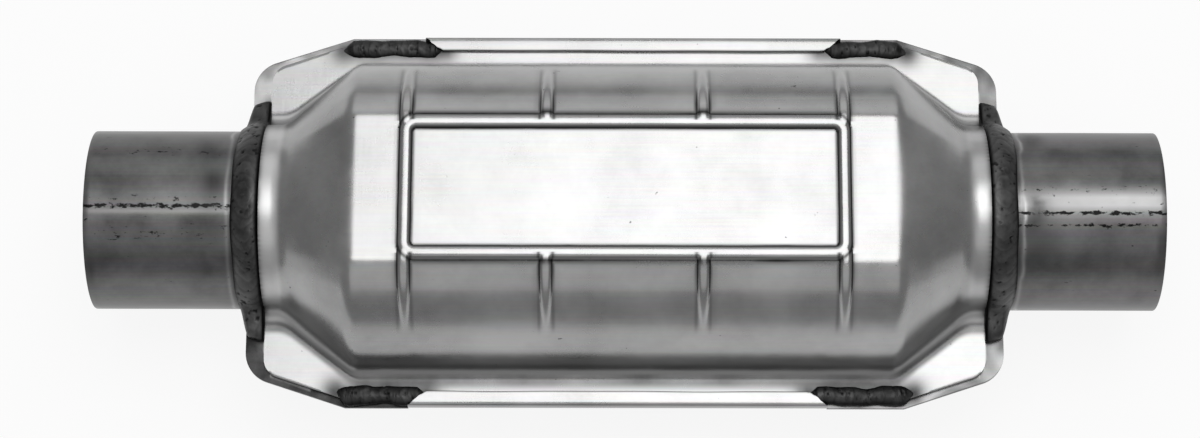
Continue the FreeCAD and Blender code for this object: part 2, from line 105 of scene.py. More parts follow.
def feed(tree: bpy.types.NodeTree, node: bpy.types.Node, inputs: dict[Any, Any]) -> None:
    """Set or link a node's inputs.

    Args:
        tree: The tree that holds the node.
        node: The node.
        inputs: Input name or number to a value, to the socket that feeds it, or to a node
            whose first live output feeds it.
    """
    for key, value in inputs.items():
        if isinstance(value, bpy.types.Node):
            value = next(socket for socket in value.outputs if socket.enabled)
        if isinstance(value, bpy.types.NodeSocket):
            tree.links.new(value, node.inputs[key])
        else:
            node.inputs[key].default_value = value


def add_node(tree: bpy.types.NodeTree, kind: str, inputs: dict[Any, Any] | None = None,
             **settings: Any) -> bpy.types.Node:
    """Add a node with its settings, values and links.

    Args:
        tree: The tree to add to.
        kind: The node's type name.
        inputs: Its inputs, as feed takes them.
        **settings: Attributes of the node, set before its inputs.

    Returns:
        The new node.
    """
    node = tree.nodes.new(kind)
    for name, value in settings.items():
        setattr(node, name, value)
    feed(tree, node, inputs or {})
    return node


def start_material(name: str, metallic: float = 1.0) -> tuple[
        bpy.types.Material, bpy.types.NodeTree, bpy.types.Node, bpy.types.NodeSocket]:
    """Start a material with one shader.

    Args:
        name: What the material is, and how it was made.
        metallic: 1 for a metal, 0 for anything else.

    Returns:
        The material, its tree, its shader and its Object coordinates.
    """
    material = bpy.data.materials.new(name)
    material.use_nodes = True
    tree = material.node_tree
    shader = tree.nodes["Principled BSDF"]
    shader.inputs["Metallic"].default_value = metallic
    return material, tree, shader, add_node(tree, "ShaderNodeTexCoord").outputs["Object"]


def read_marks(tree: bpy.types.NodeTree, *names: str) -> list[bpy.types.NodeSocket]:
    """Sockets that give a mesh's point values, by attribute name."""
    return [add_node(tree, "ShaderNodeAttribute", attribute_name=name).outputs["Fac"]
            for name in names]


def set_stops(ramp: bpy.types.Node, stops: list[tuple[float, str]]) -> None:
    """Set a colour ramp's stops.

    Args:
        ramp: The colour ramp node.
        stops: Position and hex colour of each stop, in order.
    """
    elements = ramp.color_ramp.elements
    while len(elements) < len(stops):
        elements.new(0.5)
    for element, (position, code) in zip(elements, stops):
        element.position = position
        element.color = linear(code)


def smooth_step(value: np.ndarray, low: float, high: float) -> np.ndarray:
    """Ramp from 0 at low to 1 at high with soft ends."""
    share = np.clip((value - low) / (high - low), 0, 1)
    return share * share * (3 - 2 * share)


def ripple_noise(points: np.ndarray, length: float, seed: int) -> np.ndarray:
    """Smooth seeded unevenness over points.

    Args:
        points: Array of points, one a row.
        length: Wavelength, in the unit of the points.
        seed: Seed of the pattern.

    Returns:
        One value a point, mostly between -1 and 1.
    """
    rng = np.random.default_rng(seed)
    total = np.zeros(len(points))
    for _ in range(6):
        direction = rng.normal(size=points.shape[1])
        direction /= np.linalg.norm(direction)
        wave = length * rng.uniform(0.7, 1.6)
        total += np.sin(points @ direction * 2 * math.pi / wave + rng.uniform(0, 2 * math.pi))
    return total / 3


def angle_gap(angle: Any, other: float) -> Any:
    """Signed turn from another angle, between minus and plus half a turn."""
    return (angle - other + math.pi) % (2 * math.pi) - math.pi


@dataclass
class MeshParts:
    """Vertices, faces and point values gathered into one mesh."""

    points: list[np.ndarray] = field(default_factory=list)
    faces: list[tuple[int, ...]] = field(default_factory=list)
    values: dict[str, list[np.ndarray]] = field(default_factory=dict)
    count: int = 0

    def add(self, points: np.ndarray, faces: Faces, flip: bool = False,
            **values: np.ndarray) -> None:
        """Add a part.

        Args:
            points: Its vertices in millimetres.
            faces: Its faces by vertex number within the part.
            flip: Whether its faces point inwards as given, and have to be turned round.
            **values: Point values by attribute name; a missing one is 0 there.
        """
        self.points.append(points)
        self.faces += [tuple(i + self.count for i in (face[::-1] if flip else face))
                       for face in faces]
        for name in set(self.values) | set(values):
            held = self.values.setdefault(name, [np.zeros(self.count)] if self.count else [])
            held.append(values.get(name, np.zeros(len(points))))
        self.count += len(points)

    def join(self, other: "MeshParts") -> None:
        """Add everything that another set of parts holds."""
        self.add(np.concatenate(other.points), other.faces,
                 **{name: np.concatenate(held) for name, held in other.values.items()})

    def make(self, name: str, material: bpy.types.Material,
             crease: float = 35.0) -> bpy.types.Object:
        """Make the object.

        Args:
            name: Name of the object and its mesh.
            material: Its finish.
            crease: Angle in degrees above which an edge is drawn sharp.

        Returns:
            The new object, at the origin.
        """
        mesh = bpy.data.meshes.new(name)
        points = np.concatenate(self.points) * MM
        mesh.from_pydata(points.tolist(), [], self.faces)
        for key, held in self.values.items():
            layer = mesh.attributes.new(key, "FLOAT", "POINT")
            layer.data.foreach_set("value", np.concatenate(held).astype(np.float32))
        mesh.shade_smooth()
        mesh.set_sharp_from_angle(angle=math.radians(crease))
        mesh.materials.append(material)
        piece = bpy.data.objects.new(name, mesh)
        bpy.context.scene.collection.objects.link(piece)
        return piece


def strip_faces(rows: int, columns: int, around: bool = False) -> list[tuple[int, ...]]:
    """Faces of a grid of points.

    Args:
        rows: Number of rows.
        columns: Number of points in a row.
        around: Whether each row closes on itself.

    Returns:
        Quads by point number, row after row.
    """
    last = columns if around else columns - 1
    return [(i * columns + j, i * columns + (j + 1) % columns,
             (i + 1) * columns + (j + 1) % columns, (i + 1) * columns + j)
            for i in range(rows - 1) for j in range(last)]


def tube_faces(rows: int, columns: int) -> list[tuple[int, ...]]:
    """Faces of a closed run of rings, with a cap at each end."""
    caps = [tuple(range(columns))[::-1], tuple(range((rows - 1) * columns, rows * columns))]
    return strip_faces(rows, columns, True) + caps


def loop_faces(rows: int, columns: int) -> list[tuple[int, ...]]:
    """Faces of a run of rings whose last ring joins its first."""
    last = (rows - 1) * columns
    return strip_faces(rows, columns, True) + [
        (last + k, last + (k + 1) % columns, (k + 1) % columns, k) for k in range(columns)]


def settle(piece: bpy.types.Object, nodes: list[str]) -> None:
    """Put a finished piece in the frame in place of its solids.

    Args:
        piece: The finished piece.
        nodes: The solids it stands for.
    """
    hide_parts(*nodes)
    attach(piece, "root")
    LOG.info("%s: %d faces, stands for %s", piece.name, len(piece.data.polygons), ", ".join(nodes))


# ---- Finishes --------------------------------------------------------------------------
@dataclass(frozen=True)
class StampedStainless:
    """Ferritic stainless sheet, cold rolled and pressed, bare.

    Rolling leaves a faint grain along X, and the die leaves scuffs down the walls. Welding
    heat greys the sheet near the beads, and sheared edges are duller than the faces.
    Shade is painted dark into the creases at the beads' feet and the flange's root, and a
    highlight is painted pale on the collars and low on the walls.
    """

    name: str = "ferritic_stainless_2b_sheet"
    pale: str = "#a9a9a9"
    deep: str = "#909090"
    sheared: str = "#3c3c3c"
    scorched: str = "#2a2a2a"
    # dark tone of the painted crease shade, also used for the grit specks
    soil: str = "#262626"
    # pale tone of the painted highlight
    highlight_paint: str = "#cfcfcf"
    roughness: tuple[float, float] = (0.24, 0.34)

    def make(self) -> bpy.types.Material:
        """Build the material."""
        material, tree, shader, place = start_material(self.name)
        # marks: heat (on the lower rim also soot and painted shade), painted shade, painted
        # highlight, cut
        heat, soil, rub, cut = read_marks(tree, "scorch", "soil", "rub", "cut")
        # rolling grain is about 0.1 mm wide; drawn at 0.6 mm so that it shows
        along = add_node(tree, "ShaderNodeMapping", {"Vector": place, "Scale": (30, 1600, 1600)})
        grain = add_node(tree, "ShaderNodeTexNoise", {
            "Vector": along, "Scale": 1.0, "Detail": 3.0, "Roughness": 0.6})
        down = add_node(tree, "ShaderNodeMapping", {"Vector": place, "Scale": (900, 60, 40)})
        scuff = add_node(tree, "ShaderNodeTexNoise", {
            "Vector": down, "Scale": 1.0, "Detail": 4.0, "Roughness": 0.65})
        # handling marks, 15 to 40 mm across
        smudge = add_node(tree, "ShaderNodeTexNoise", {
            "Vector": place, "Scale": 38.0, "Detail": 6.0, "Roughness": 0.6})
        sheet = add_node(tree, "ShaderNodeValToRGB", {"Fac": smudge})
        set_stops(sheet, [(0.3, self.deep), (0.65, self.pale)])
        streak = add_node(tree, "ShaderNodeMix", {
            "Factor": 0.1, UNDER: sheet, OVER: grain.outputs["Color"]}, data_type="RGBA",
            blend_type="OVERLAY")
        mottled = add_node(tree, "ShaderNodeMath", {
            0: smudge, 1: 1.1, 2: 0.4}, operation="MULTIPLY_ADD")
        burnt = add_node(tree, "ShaderNodeMath", {
            0: heat, 1: mottled}, operation="MULTIPLY", use_clamp=True)
        tinted = add_node(tree, "ShaderNodeMix", {
            "Factor": burnt, UNDER: streak, OVER: linear(self.scorched)}, data_type="RGBA")
        # painted highlight: the collars and the low walls are made paler
        drawn = add_node(tree, "ShaderNodeMix", {
            "Factor": rub, UNDER: tinted, OVER: linear(self.highlight_paint)}, data_type="RGBA")
        # painted shade: the creases at the beads' feet and the flange's root are darkened
        uneven_shade = add_node(tree, "ShaderNodeMath", {
            0: soil, 1: mottled}, operation="MULTIPLY", use_clamp=True)
        crease_shaded = add_node(tree, "ShaderNodeMix", {
            "Factor": uneven_shade, UNDER: drawn, OVER: linear(self.soil)}, data_type="RGBA")
        # pressed-in grit, a millimetre across and scattered
        grit = add_node(tree, "ShaderNodeTexNoise", {
            "Vector": place, "Scale": 330.0, "Detail": 3.0, "Roughness": 0.7})
        specks = add_node(tree, "ShaderNodeMapRange", {
            "Value": grit, "From Min": 0.715, "From Max": 0.75, "To Min": 0.0, "To Max": 0.8})
        dotted = add_node(tree, "ShaderNodeMix", {
            "Factor": specks, UNDER: crease_shaded, OVER: linear(self.soil)}, data_type="RGBA")
        colour = add_node(tree, "ShaderNodeMix", {
            "Factor": cut, UNDER: dotted, OVER: linear(self.sheared)}, data_type="RGBA")
        gloss = add_node(tree, "ShaderNodeMapRange", {
            "Value": smudge, "From Min": 0.3, "From Max": 0.7, "To Min": self.roughness[0],
            "To Max": self.roughness[1]})
        # a little rougher where the highlight is painted
        highlight_paint = add_node(tree, "ShaderNodeMath", {
            0: rub, 1: 0.14, 2: gloss}, operation="MULTIPLY_ADD")
        dull = add_node(tree, "ShaderNodeMath", {
            0: burnt, 1: 0.15, 2: highlight_paint}, operation="MULTIPLY_ADD")
        both = add_node(tree, "ShaderNodeMath", {0: grain, 1: scuff})
        bump = add_node(tree, "ShaderNodeBump", {
            "Strength": 0.12, "Distance": 0.0001, "Height": both})
        feed(tree, shader, {"Base Color": colour, "Roughness": dull, "Normal": bump})
        return material


@dataclass(frozen=True)
class SeamWeldedTube:
    """Mill-finish exhaust tube, rolled and seam welded along its length, bare.

    The rolls leave fine lines along the tube, the scarfed seam is a thin paler stripe beside
    a row of burnt pits, and heat greys the end next to the neck bead. A wide stripe, as on
    the outlet, is a painted highlight along the top of the tube.
    """

    name: str = "seam_welded_stainless_tube"
    pale: str = "#767676"
    deep: str = "#565656"
    # pale tone of the seam's stripe, and of the painted highlight on the outlet
    seam: str = "#9a9a9a"
    speck: str = "#1c1c1c"
    scorched: str = "#2e2e2e"
    sheared: str = "#5a5a5a"

    def make(self) -> bpy.types.Material:
        """Build the material."""
        material, tree, shader, place = start_material(self.name)
        seam, pit, heat, cut = read_marks(tree, "seam", "pit", "scorch", "cut")
        # roll lines are about 0.2 mm apart; drawn at 0.8 mm so that they show
        along = add_node(tree, "ShaderNodeMapping", {"Vector": place, "Scale": (14, 1200, 1200)})
        lines = add_node(tree, "ShaderNodeTexNoise", {
            "Vector": along, "Scale": 1.0, "Detail": 3.0, "Roughness": 0.6})
        stain = add_node(tree, "ShaderNodeTexNoise", {
            "Vector": place, "Scale": 60.0, "Detail": 7.0, "Roughness": 0.65})
        base = add_node(tree, "ShaderNodeValToRGB", {"Fac": stain})
        set_stops(base, [(0.3, self.deep), (0.7, self.pale)])
        lined = add_node(tree, "ShaderNodeMix", {
            "Factor": 0.18, UNDER: base, OVER: lines.outputs["Color"]}, data_type="RGBA",
            blend_type="OVERLAY")
        # the seam's paler stripe; where it is wide, as on the outlet, it is a painted highlight
        striped = add_node(tree, "ShaderNodeMix", {
            "Factor": seam, UNDER: lined, OVER: linear(self.seam)}, data_type="RGBA")
        # specks of slag on the seam, about 0.8 mm long
        fleck = add_node(tree, "ShaderNodeTexNoise", {
            "Vector": place, "Scale": 420.0, "Detail": 2.0})
        specks = add_node(tree, "ShaderNodeMapRange", {
            "Value": fleck, "From Min": 0.68, "From Max": 0.74})
        on_seam = add_node(tree, "ShaderNodeMath", {0: specks, 1: seam}, operation="MULTIPLY")
        flecked = add_node(tree, "ShaderNodeMix", {
            "Factor": on_seam, UNDER: striped, OVER: linear(self.speck)}, data_type="RGBA")
        # burnt pits run together in short rows, each about a millimetre across
        drawn = add_node(tree, "ShaderNodeMapping", {"Vector": place, "Scale": (330, 600, 600)})
        holes = add_node(tree, "ShaderNodeTexNoise", {
            "Vector": drawn, "Scale": 1.0, "Detail": 3.0, "Roughness": 0.65})
        reach = add_node(tree, "ShaderNodeMath", {
            0: pit, 1: 0.32, 2: holes}, operation="MULTIPLY_ADD")
        burnt_in = add_node(tree, "ShaderNodeMapRange", {
            "Value": reach, "From Min": 0.71, "From Max": 0.8})
        pitted = add_node(tree, "ShaderNodeMix", {
            "Factor": burnt_in, UNDER: flecked, OVER: linear(self.speck)}, data_type="RGBA")
        mottled = add_node(tree, "ShaderNodeMath", {
            0: stain, 1: 1.6, 2: 0.1}, operation="MULTIPLY_ADD")
        burnt = add_node(tree, "ShaderNodeMath", {
            0: heat, 1: mottled}, operation="MULTIPLY", use_clamp=True)
        tinted = add_node(tree, "ShaderNodeMix", {
            "Factor": burnt, UNDER: pitted, OVER: linear(self.scorched)}, data_type="RGBA")
        colour = add_node(tree, "ShaderNodeMix", {
            "Factor": cut, UNDER: tinted, OVER: linear(self.sheared)}, data_type="RGBA")
        gloss = add_node(tree, "ShaderNodeMapRange", {
            "Value": stain, "From Min": 0.3, "From Max": 0.7, "To Min": 0.28, "To Max": 0.42})
        bump = add_node(tree, "ShaderNodeBump", {
            "Strength": 0.15, "Distance": 0.0001, "Height": lines})
        feed(tree, shader, {"Base Color": colour, "Roughness": gloss, "Normal": bump})
        return material


@dataclass(frozen=True)
class MigBead:
    """MIG weld metal as deposited, under its dark oxide.

    Crests of the ripples are rubbed lighter and valleys hold soot and slag. The toes carry
    painted shade where the bead meets the metal beside it, and corner beads are sooty all over.
    """

    name: str = "oxidised_mig_weld_metal"
    crest: str = "#868686"
    valley: str = "#242424"
    # dark tone of the toes' painted shade and of the corner beads' soot
    toe: str = "#141414"

    def make(self) -> bpy.types.Material:
        """Build the material."""
        material, tree, shader, place = start_material(self.name)
        ripple, toe = read_marks(tree, "ripple", "toe")
        # oxide scale in grains about 1 mm across
        scale = add_node(tree, "ShaderNodeTexNoise", {
            "Vector": place, "Scale": 500.0, "Detail": 5.0, "Roughness": 0.6})
        cloud = add_node(tree, "ShaderNodeTexNoise", {
            "Vector": place, "Scale": 120.0, "Detail": 3.0})
        worn = add_node(tree, "ShaderNodeMath", {
            0: scale, 1: 0.6, 2: -0.3}, operation="MULTIPLY_ADD")
        height = add_node(tree, "ShaderNodeMath", {0: ripple, 1: worn})
        faded = add_node(tree, "ShaderNodeMath", {
            0: height, 1: cloud}, operation="MULTIPLY", use_clamp=True)
        metal = add_node(tree, "ShaderNodeMix", {
            "Factor": faded, UNDER: linear(self.valley), OVER: linear(self.crest)},
            data_type="RGBA")
        colour = add_node(tree, "ShaderNodeMix", {
            "Factor": toe, UNDER: metal, OVER: linear(self.toe)}, data_type="RGBA")
        gloss = add_node(tree, "ShaderNodeMapRange", {
            "Value": scale, "From Min": 0.3, "From Max": 0.7, "To Min": 0.36, "To Max": 0.6})
        bump = add_node(tree, "ShaderNodeBump", {
            "Strength": 0.35, "Distance": 0.0003, "Height": scale})
        feed(tree, shader, {"Base Color": colour, "Roughness": gloss, "Normal": bump})
        return material


@dataclass(frozen=True)
class GrainyFinish:
    """Dull inner material with a fine grain: fired ceramic, fibre mat or knitted wire."""

    name: str
    pale: str
    deep: str
    grain_mm: float
    stretch: tuple[float, float, float] = (1.0, 1.0, 1.0)
    metallic: float = 0.0
    roughness: float = 0.8
    relief_mm: float = 0.1

    def make(self) -> bpy.types.Material:
        """Build the material."""
        material, tree, shader, place = start_material(self.name, self.metallic)
        pulled = add_node(tree, "ShaderNodeMapping", {"Vector": place, "Scale": self.stretch})
        grain = add_node(tree, "ShaderNodeTexNoise", {
            "Vector": pulled, "Scale": 1000 / self.grain_mm / 2, "Detail": 4.0, "Roughness": 0.6})
        ramp = add_node(tree, "ShaderNodeValToRGB", {"Fac": grain})
        set_stops(ramp, [(0.35, self.deep), (0.65, self.pale)])
        bump = add_node(tree, "ShaderNodeBump", {
            "Strength": 0.5, "Distance": self.relief_mm * MM, "Height": grain})
        feed(tree, shader, {"Base Color": ramp, "Roughness": self.roughness, "Normal": bump})
        return material


# washcoated cordierite: matt, sandy, grains about 0.3 mm
CERAMIC = GrainyFinish("washcoated_cordierite", "#b9b1a0", "#8f8778", 0.3, roughness=0.9)
# swelling mat: ceramic fibre with flakes, felted, fibres lying round the brick
FIBRE = GrainyFinish("vermiculite_fibre_mat", "#c9c0ab", "#8d8474", 0.5, (2.0, 0.5, 0.5),
                     relief_mm=0.2)
# knitted stainless wire, loops about 1.2 mm
MESH = GrainyFinish("knitted_stainless_wire", "#9c9c9c", "#3b3b3b", 1.2, metallic=1.0,
                    roughness=0.4, relief_mm=0.4)


# ---- Pressed section -------------------------------------------------------------------
@dataclass(frozen=True)
class Section:
    """Cross-section of a pressing's outside: crown, shoulder, drafted wall and fillet.

    Angles are in degrees and lengths in millimetres.
    """

    centre_y: float
    centre_z: float
    radius: float
    corner_z: float
    crown_slope: float
    draft: float
    fillet: float
    sheet: float = 1.5

    def towards(self, other: "Section", share: float) -> "Section":
        """The section a share of the way to another."""
        return Section(*[mine + (theirs - mine) * share
                         for mine, theirs in zip(astuple(self), astuple(other))])

    def fillet_centre(self) -> tuple[float, float]:
        """Centre of the fillet between wall and flange."""
        draft = math.radians(self.draft)
        wall_y = self.centre_y + self.radius * math.cos(draft)
        wall_z = self.centre_z + self.radius * math.sin(draft)
        centre_z = self.sheet + self.fillet
        rise = (centre_z - wall_z) * math.sin(draft)
        return wall_y + (self.fillet - rise) / math.cos(draft), centre_z

    def corner_angle(self, inset: float) -> float:
        """Angle from upright at which the shoulder's arc meets the crown."""
        height = self.corner_z - inset * math.cos(math.radians(self.crown_slope))
        return math.acos(min((height - self.centre_z) / (self.radius - inset), 1.0))

    def crown(self, inset: float, shares: np.ndarray) -> np.ndarray:
        """Points from the middle of the crown (0) to its corner (1)."""
        angle = self.corner_angle(inset)
        reach = self.radius - inset
        corner_y = self.centre_y + reach * math.sin(angle)
        corner_z = self.centre_z + reach * math.cos(angle)
        y = shares * corner_y
        slope = math.radians(self.crown_slope)
        if slope < 1e-4:
            return np.stack([y, np.full_like(y, corner_z)], 1)
        arc = corner_y / math.sin(slope)
        return np.stack([y, corner_z + np.sqrt(arc ** 2 - y ** 2) - arc * math.cos(slope)], 1)

    def shoulder(self, inset: float, shares: np.ndarray) -> np.ndarray:
        """Points of the shoulder's arc, from the crown's corner (0) to the wall (1)."""
        first = self.corner_angle(inset)
        last = math.pi / 2 - math.radians(self.draft)
        angle = first + shares * (last - first)
        reach = self.radius - inset
        return np.stack([self.centre_y + reach * np.sin(angle),
                         self.centre_z + reach * np.cos(angle)], 1)

    def fillet_arc(self, inset: float, shares: np.ndarray) -> np.ndarray:
        """Points of the fillet, from the wall (0) to the flange (1)."""
        centre_y, centre_z = self.fillet_centre()
        draft = math.radians(self.draft)
        angle = draft + shares * (math.pi / 2 - draft)
        reach = self.fillet + inset
        return np.stack([centre_y - reach * np.cos(angle), centre_z - reach * np.sin(angle)], 1)


@dataclass(frozen=True)
class Form:
    """The one form that both half shells are pressed to, and everything set by it."""

    body: Section = Section(centre_y=12.155, centre_z=6.434, radius=36.539, corner_z=41.0,
                            crown_slope=0.0, draft=5.6, fillet=4.0)
    neck: Section = Section(centre_y=0.0, centre_z=0.0, radius=30.675, corner_z=26.014,
                            crown_slope=32.0, draft=12.0, fillet=6.0)
    sheet: float = 1.5
    pipe_radius: float = 28.575
    pipe_bore: float = 26.975
    fold_x: float = 85.5
    cone: float = 22.5
    fold_bend: float = 2.2
    collar_bend: float = 3.0
    collar_end: float = 114.5
    ear_end: float = 120.5
    flange_slant: float = 18.3
    slant_start: float = 3.0
    lower_edge: float = 61.3
    hem_radius: float = 2.25
    hem_band: float = 4.9
    hem_cut: float = 6.0
    ear_gap: float = 1.2
    flat_half: float = 24.0
    frame_x: float = 68.0
    frame_y: float = 21.0
    frame_corner: float = 3.3
    bead_width: float = 4.2
    bead_height: float = 1.6
    cross_x: tuple[float, ...] = (-68.0, -24.3, 24.3, 68.0)
    fade_z: float = 25.0

    def share(self, x: float) -> float:
        """How much of the cone is done at X, with both its bends rounded."""
        past = abs(x) - self.fold_x
        left = self.cone + self.collar_bend - past
        if past < self.fold_bend:
            return max(past + self.fold_bend, 0) ** 2 / (4 * self.fold_bend * self.cone)
        if left < 2 * self.collar_bend:
            return 1 - max(left, 0) ** 2 / (4 * self.collar_bend * self.cone)
        return past / self.cone

    def section(self, x: float) -> Section:
        """Section of the pressing at X."""
        return self.body.towards(self.neck, self.share(x))

    def fade_reach(self) -> float:
        """Distance round the section at which the cross beads have run out."""
        fade_angle = math.acos((self.fade_z - self.body.centre_z) / self.body.radius)
        return self.flat_half + self.body.radius * (fade_angle - self.body.corner_angle(0))

    def bend_x(self) -> float:
        """X at which the flange's edge starts to slant in."""
        return self.fold_x + self.slant_start

    def edge(self, x: float, straight: float, end_x: float, radius: float) -> float:
        """Half width of a flange at X.

        Args:
            x: Station along the converter.
            straight: Half width between the bends.
            end_x: Where the flange ends.
            radius: Radius of its outer corners.

        Returns:
            Distance of the edge from the middle plane.
        """
        slope = math.tan(math.radians(self.flange_slant))
        run = math.radians(self.flange_slant)
        past = abs(x)
        corner_y = straight - (end_x - self.bend_x()) * slope
        trim = radius * math.tan((math.pi / 2 - run) / 2)
        if past <= end_x - trim * math.cos(run):
            return straight - max(past - self.bend_x(), 0) * slope
        reach = min(past - (end_x - radius), radius)
        return corner_y - trim + math.sqrt(max(radius ** 2 - reach ** 2, 0))


FORM = Form()

# radius of each flange's outer corners
UPPER_CORNER, LOWER_CORNER = 6.0, 10.0
# the die leaves a bead's crest flatter than a plain arc, for which this is 1
CREST_FLATNESS = 1.55
# how softly a bead's foot runs into the sheet, in millimetres
BEAD_FOOT_ROUND = 0.18


def bead_rise(distance: np.ndarray, sink: np.ndarray | float) -> np.ndarray:
    """Height of a pressed bead at a distance from its centre line.

    Args:
        distance: Distance from the centre line, in millimetres.
        sink: How far the whole bead has sunk below its full height.

    Returns:
        Height over the sheet, never negative, with a soft foot.
    """
    radius = (FORM.bead_width ** 2 / 4 + FORM.bead_height ** 2) / (2 * FORM.bead_height)
    below = radius - FORM.bead_height
    cap = np.sqrt(np.maximum(radius ** 2 - distance ** 2, 0)) - below - sink
    full = FORM.bead_height
    held = np.clip(cap, 0, full)
    cap = np.where(cap > 0, full * (1 - (1 - held / full) ** CREST_FLATNESS), cap)
    soft = BEAD_FOOT_ROUND
    rest = (math.hypot(below, soft) - below) / 2
    return np.maximum((cap + np.sqrt(cap ** 2 + soft ** 2)) / 2 - rest, 0)


# how dark the lower flange's bare rim is at each corner, from 0 to 1:
# weld soot, and painted shade beside the upper flange's edge
EAR_SOOT_AND_SHADE = {(End.INLET, Side.REAR): 0.3, (End.INLET, Side.FRONT): 0.95,
            (End.OUTLET, Side.REAR): 0.7, (End.OUTLET, Side.FRONT): 0.55}


@dataclass
class HalfShell:
    """One pressed half shell, with its flange trimmed and its beads raised.

    The mesh is a grid of stations along X and columns across, on the outside and the
    inside of the sheet, closed along every edge.
    """

    name: str
    node: str
    turned: int
    straight_edge: float
    end_x: float
    corner_radius: float
    hem_range: dict[Side, tuple[float, float]]
    weld_lines: list[tuple[np.ndarray, float]]
    seed: int
    form: Form = FORM
    strip_width: float = 2.6
    cut_rounding: float = 0.16
    bead_foot: float = 2.25
    foot_spread: float = 0.55
    limb_foot: float = 2.2
    limb_spread: float = 0.65
    root_soil: float = 0.74
    press_hollow: float = 0.16
    hollow_length: float = 46.0
    frame_zone: float = 17.6

    def stations(self) -> np.ndarray:
        """X of every station, close together where beads, bends and corners need it."""
        fold, end = self.form.fold_x, self.form.collar_end
        half = [np.arange(0, fold - 1.5, 2.4), np.arange(fold - 2.5, fold + 4, 0.5),
                np.arange(fold + 4, end - 2.5, 0.9), np.arange(end - 11, end, 0.5)]
        for cross in self.form.cross_x[2:]:
            half.append(np.arange(cross - 3.2, cross + 3.2, 0.36))
        half.append(self.end_x - self.corner_radius * (1 - np.cos(np.linspace(0, math.pi / 2, 14))))
        half.append(np.array([end, self.end_x]))
        x = np.unique(np.round(np.concatenate(half), 3))
        x = x[x <= self.end_x]
        # a step on each side of every hem's end
        steps = [limit + nudge for pair in self.hem_range.values() for limit in pair
                 for nudge in (-0.01, 0.01)]
        x = np.unique(np.round(np.concatenate([-x, x, np.array(steps)]), 3))
        return x[np.concatenate([[True], np.diff(x) > 0.005])]

    def shares(self) -> list[tuple[str, np.ndarray]]:
        """Zones of one side and how each is divided, from the middle outwards."""
        # the crown's outer part carries the raised frame, so its columns stand closer
        frame_from = self.frame_zone / self.form.flat_half
        return [
            ("crown", np.concatenate([np.linspace(0, frame_from, 10)[:-1],
                                      np.linspace(frame_from, 1, 18)])),
            ("shoulder", np.linspace(0, 1, 27)[1:]),
            ("wall", np.linspace(0, 1, 5)[1:]),
            ("fillet", np.linspace(0, 1, 10)[1:]),
            ("near", np.linspace(0, 1, 3)[1:]),
            ("strip", np.array([0.2, 0.45, 0.8, 1.0])),
            ("far", np.array([0.25, 0.5, 0.72, 0.9, 0.97, 1.0])),
        ]

    def edge_y(self, x: float, side: Side) -> float:
        """Half width of the flange at X on one side."""
        low, high = self.hem_range.get(side, (0, 0))
        if low < x < high:
            return self.form.lower_edge - self.form.hem_radius
        return self.form.edge(x, self.straight_edge, self.end_x, self.corner_radius)

    def half_row(self, x: float, inset: float, side: Side) -> tuple[np.ndarray, np.ndarray]:
        """Points across one side at X, from the middle outwards.

        Args:
            x: The station.
            inset: 0 for the outside of the sheet, its thickness for the inside.
            side: Which side.

        Returns:
            The (y, z) points, and the distance of each from the middle round the section.
        """
        section = self.form.section(x)
        rows = []
        foot_y, _ = section.fillet_centre()
        middle_y = foot_y + self.form.ear_gap
        edge_y = self.edge_y(x, side)
        level = self.form.sheet - inset
        for zone, share in self.shares():
            if zone == "crown":
                rows.append(section.crown(inset, share))
            elif zone == "shoulder":
                rows.append(section.shoulder(inset, share))
            elif zone == "wall":
                start, stop = rows[-1][-1], section.fillet_arc(inset, np.zeros(1))[0]
                rows.append(start + share[:, None] * (stop - start))
            elif zone == "fillet":
                rows.append(section.fillet_arc(inset, share))
            else:
                strip_y = middle_y + self.strip_width
                low, high = {"near": (foot_y, middle_y), "strip": (middle_y, strip_y),
                             "far": (strip_y, edge_y)}[zone]
                y = low + share * (high - low)
                z = np.full_like(y, level)
                if zone == "far" and inset == 0:
                    z[-1] -= self.cut_rounding
                rows.append(np.stack([y, z], 1))
        points = np.concatenate(rows)
        steps = np.linalg.norm(np.diff(points, axis=0), axis=1)
        return points, np.concatenate([[0], np.cumsum(steps)])

    def frame_distance(self, x: float, reach: np.ndarray) -> np.ndarray:
        """Distance from the raised frame's centre line, by distance round the section."""
        r = self.form.frame_corner
        across = np.abs(reach) - (self.form.frame_y - r)
        along = abs(x) - (self.form.frame_x - r)
        outside = np.hypot(np.maximum(across, 0), max(along, 0))
        inside = np.minimum(np.maximum(across, along), 0)
        return np.abs(outside + inside - r)

    def rise(self, x: float, reach: np.ndarray) -> np.ndarray:
        """Height of the beads along one side at X, by distance round the section."""
        form = self.form
        if abs(x) > form.frame_x + form.bead_width:
            return np.zeros_like(reach)
        height = bead_rise(self.frame_distance(x, reach), 0.0)
        fade_reach = form.fade_reach()
        sink = smooth_step(reach, form.flat_half + 2, fade_reach) * form.bead_height
        for cross in form.cross_x:
            limb = bead_rise(np.hypot(abs(x - cross), np.maximum(form.frame_y - reach, 0)), sink)
            limb *= 1 - smooth_step(reach, fade_reach - 4, fade_reach + 1)
            height = np.maximum(height, limb)
        return height

    def soil(self, x: float, side: Side) -> np.ndarray:
        """Painted shade along the feet of the beads and, in front, on the root of the flange."""
        form = self.form
        points, reach = self.half_row(x, 0.0, side)
        total = np.zeros(len(points))
        if abs(x) < form.frame_x + 2 * form.bead_width:
            off_foot = self.frame_distance(x, reach) - self.bead_foot
            total = np.exp(-(off_foot / self.foot_spread) ** 2)
            fade = form.fade_reach()
            limb = (reach >= form.frame_y) * (1 - smooth_step(reach, fade - 5, fade))
            limb *= 1 - 0.55 * smooth_step(reach, form.frame_y + 5, form.frame_y + 14)
            for cross in form.cross_x:
                foot = math.exp(-((abs(x - cross) - self.limb_foot) / self.limb_spread) ** 2)
                total = np.maximum(total, 0.85 * foot * limb)
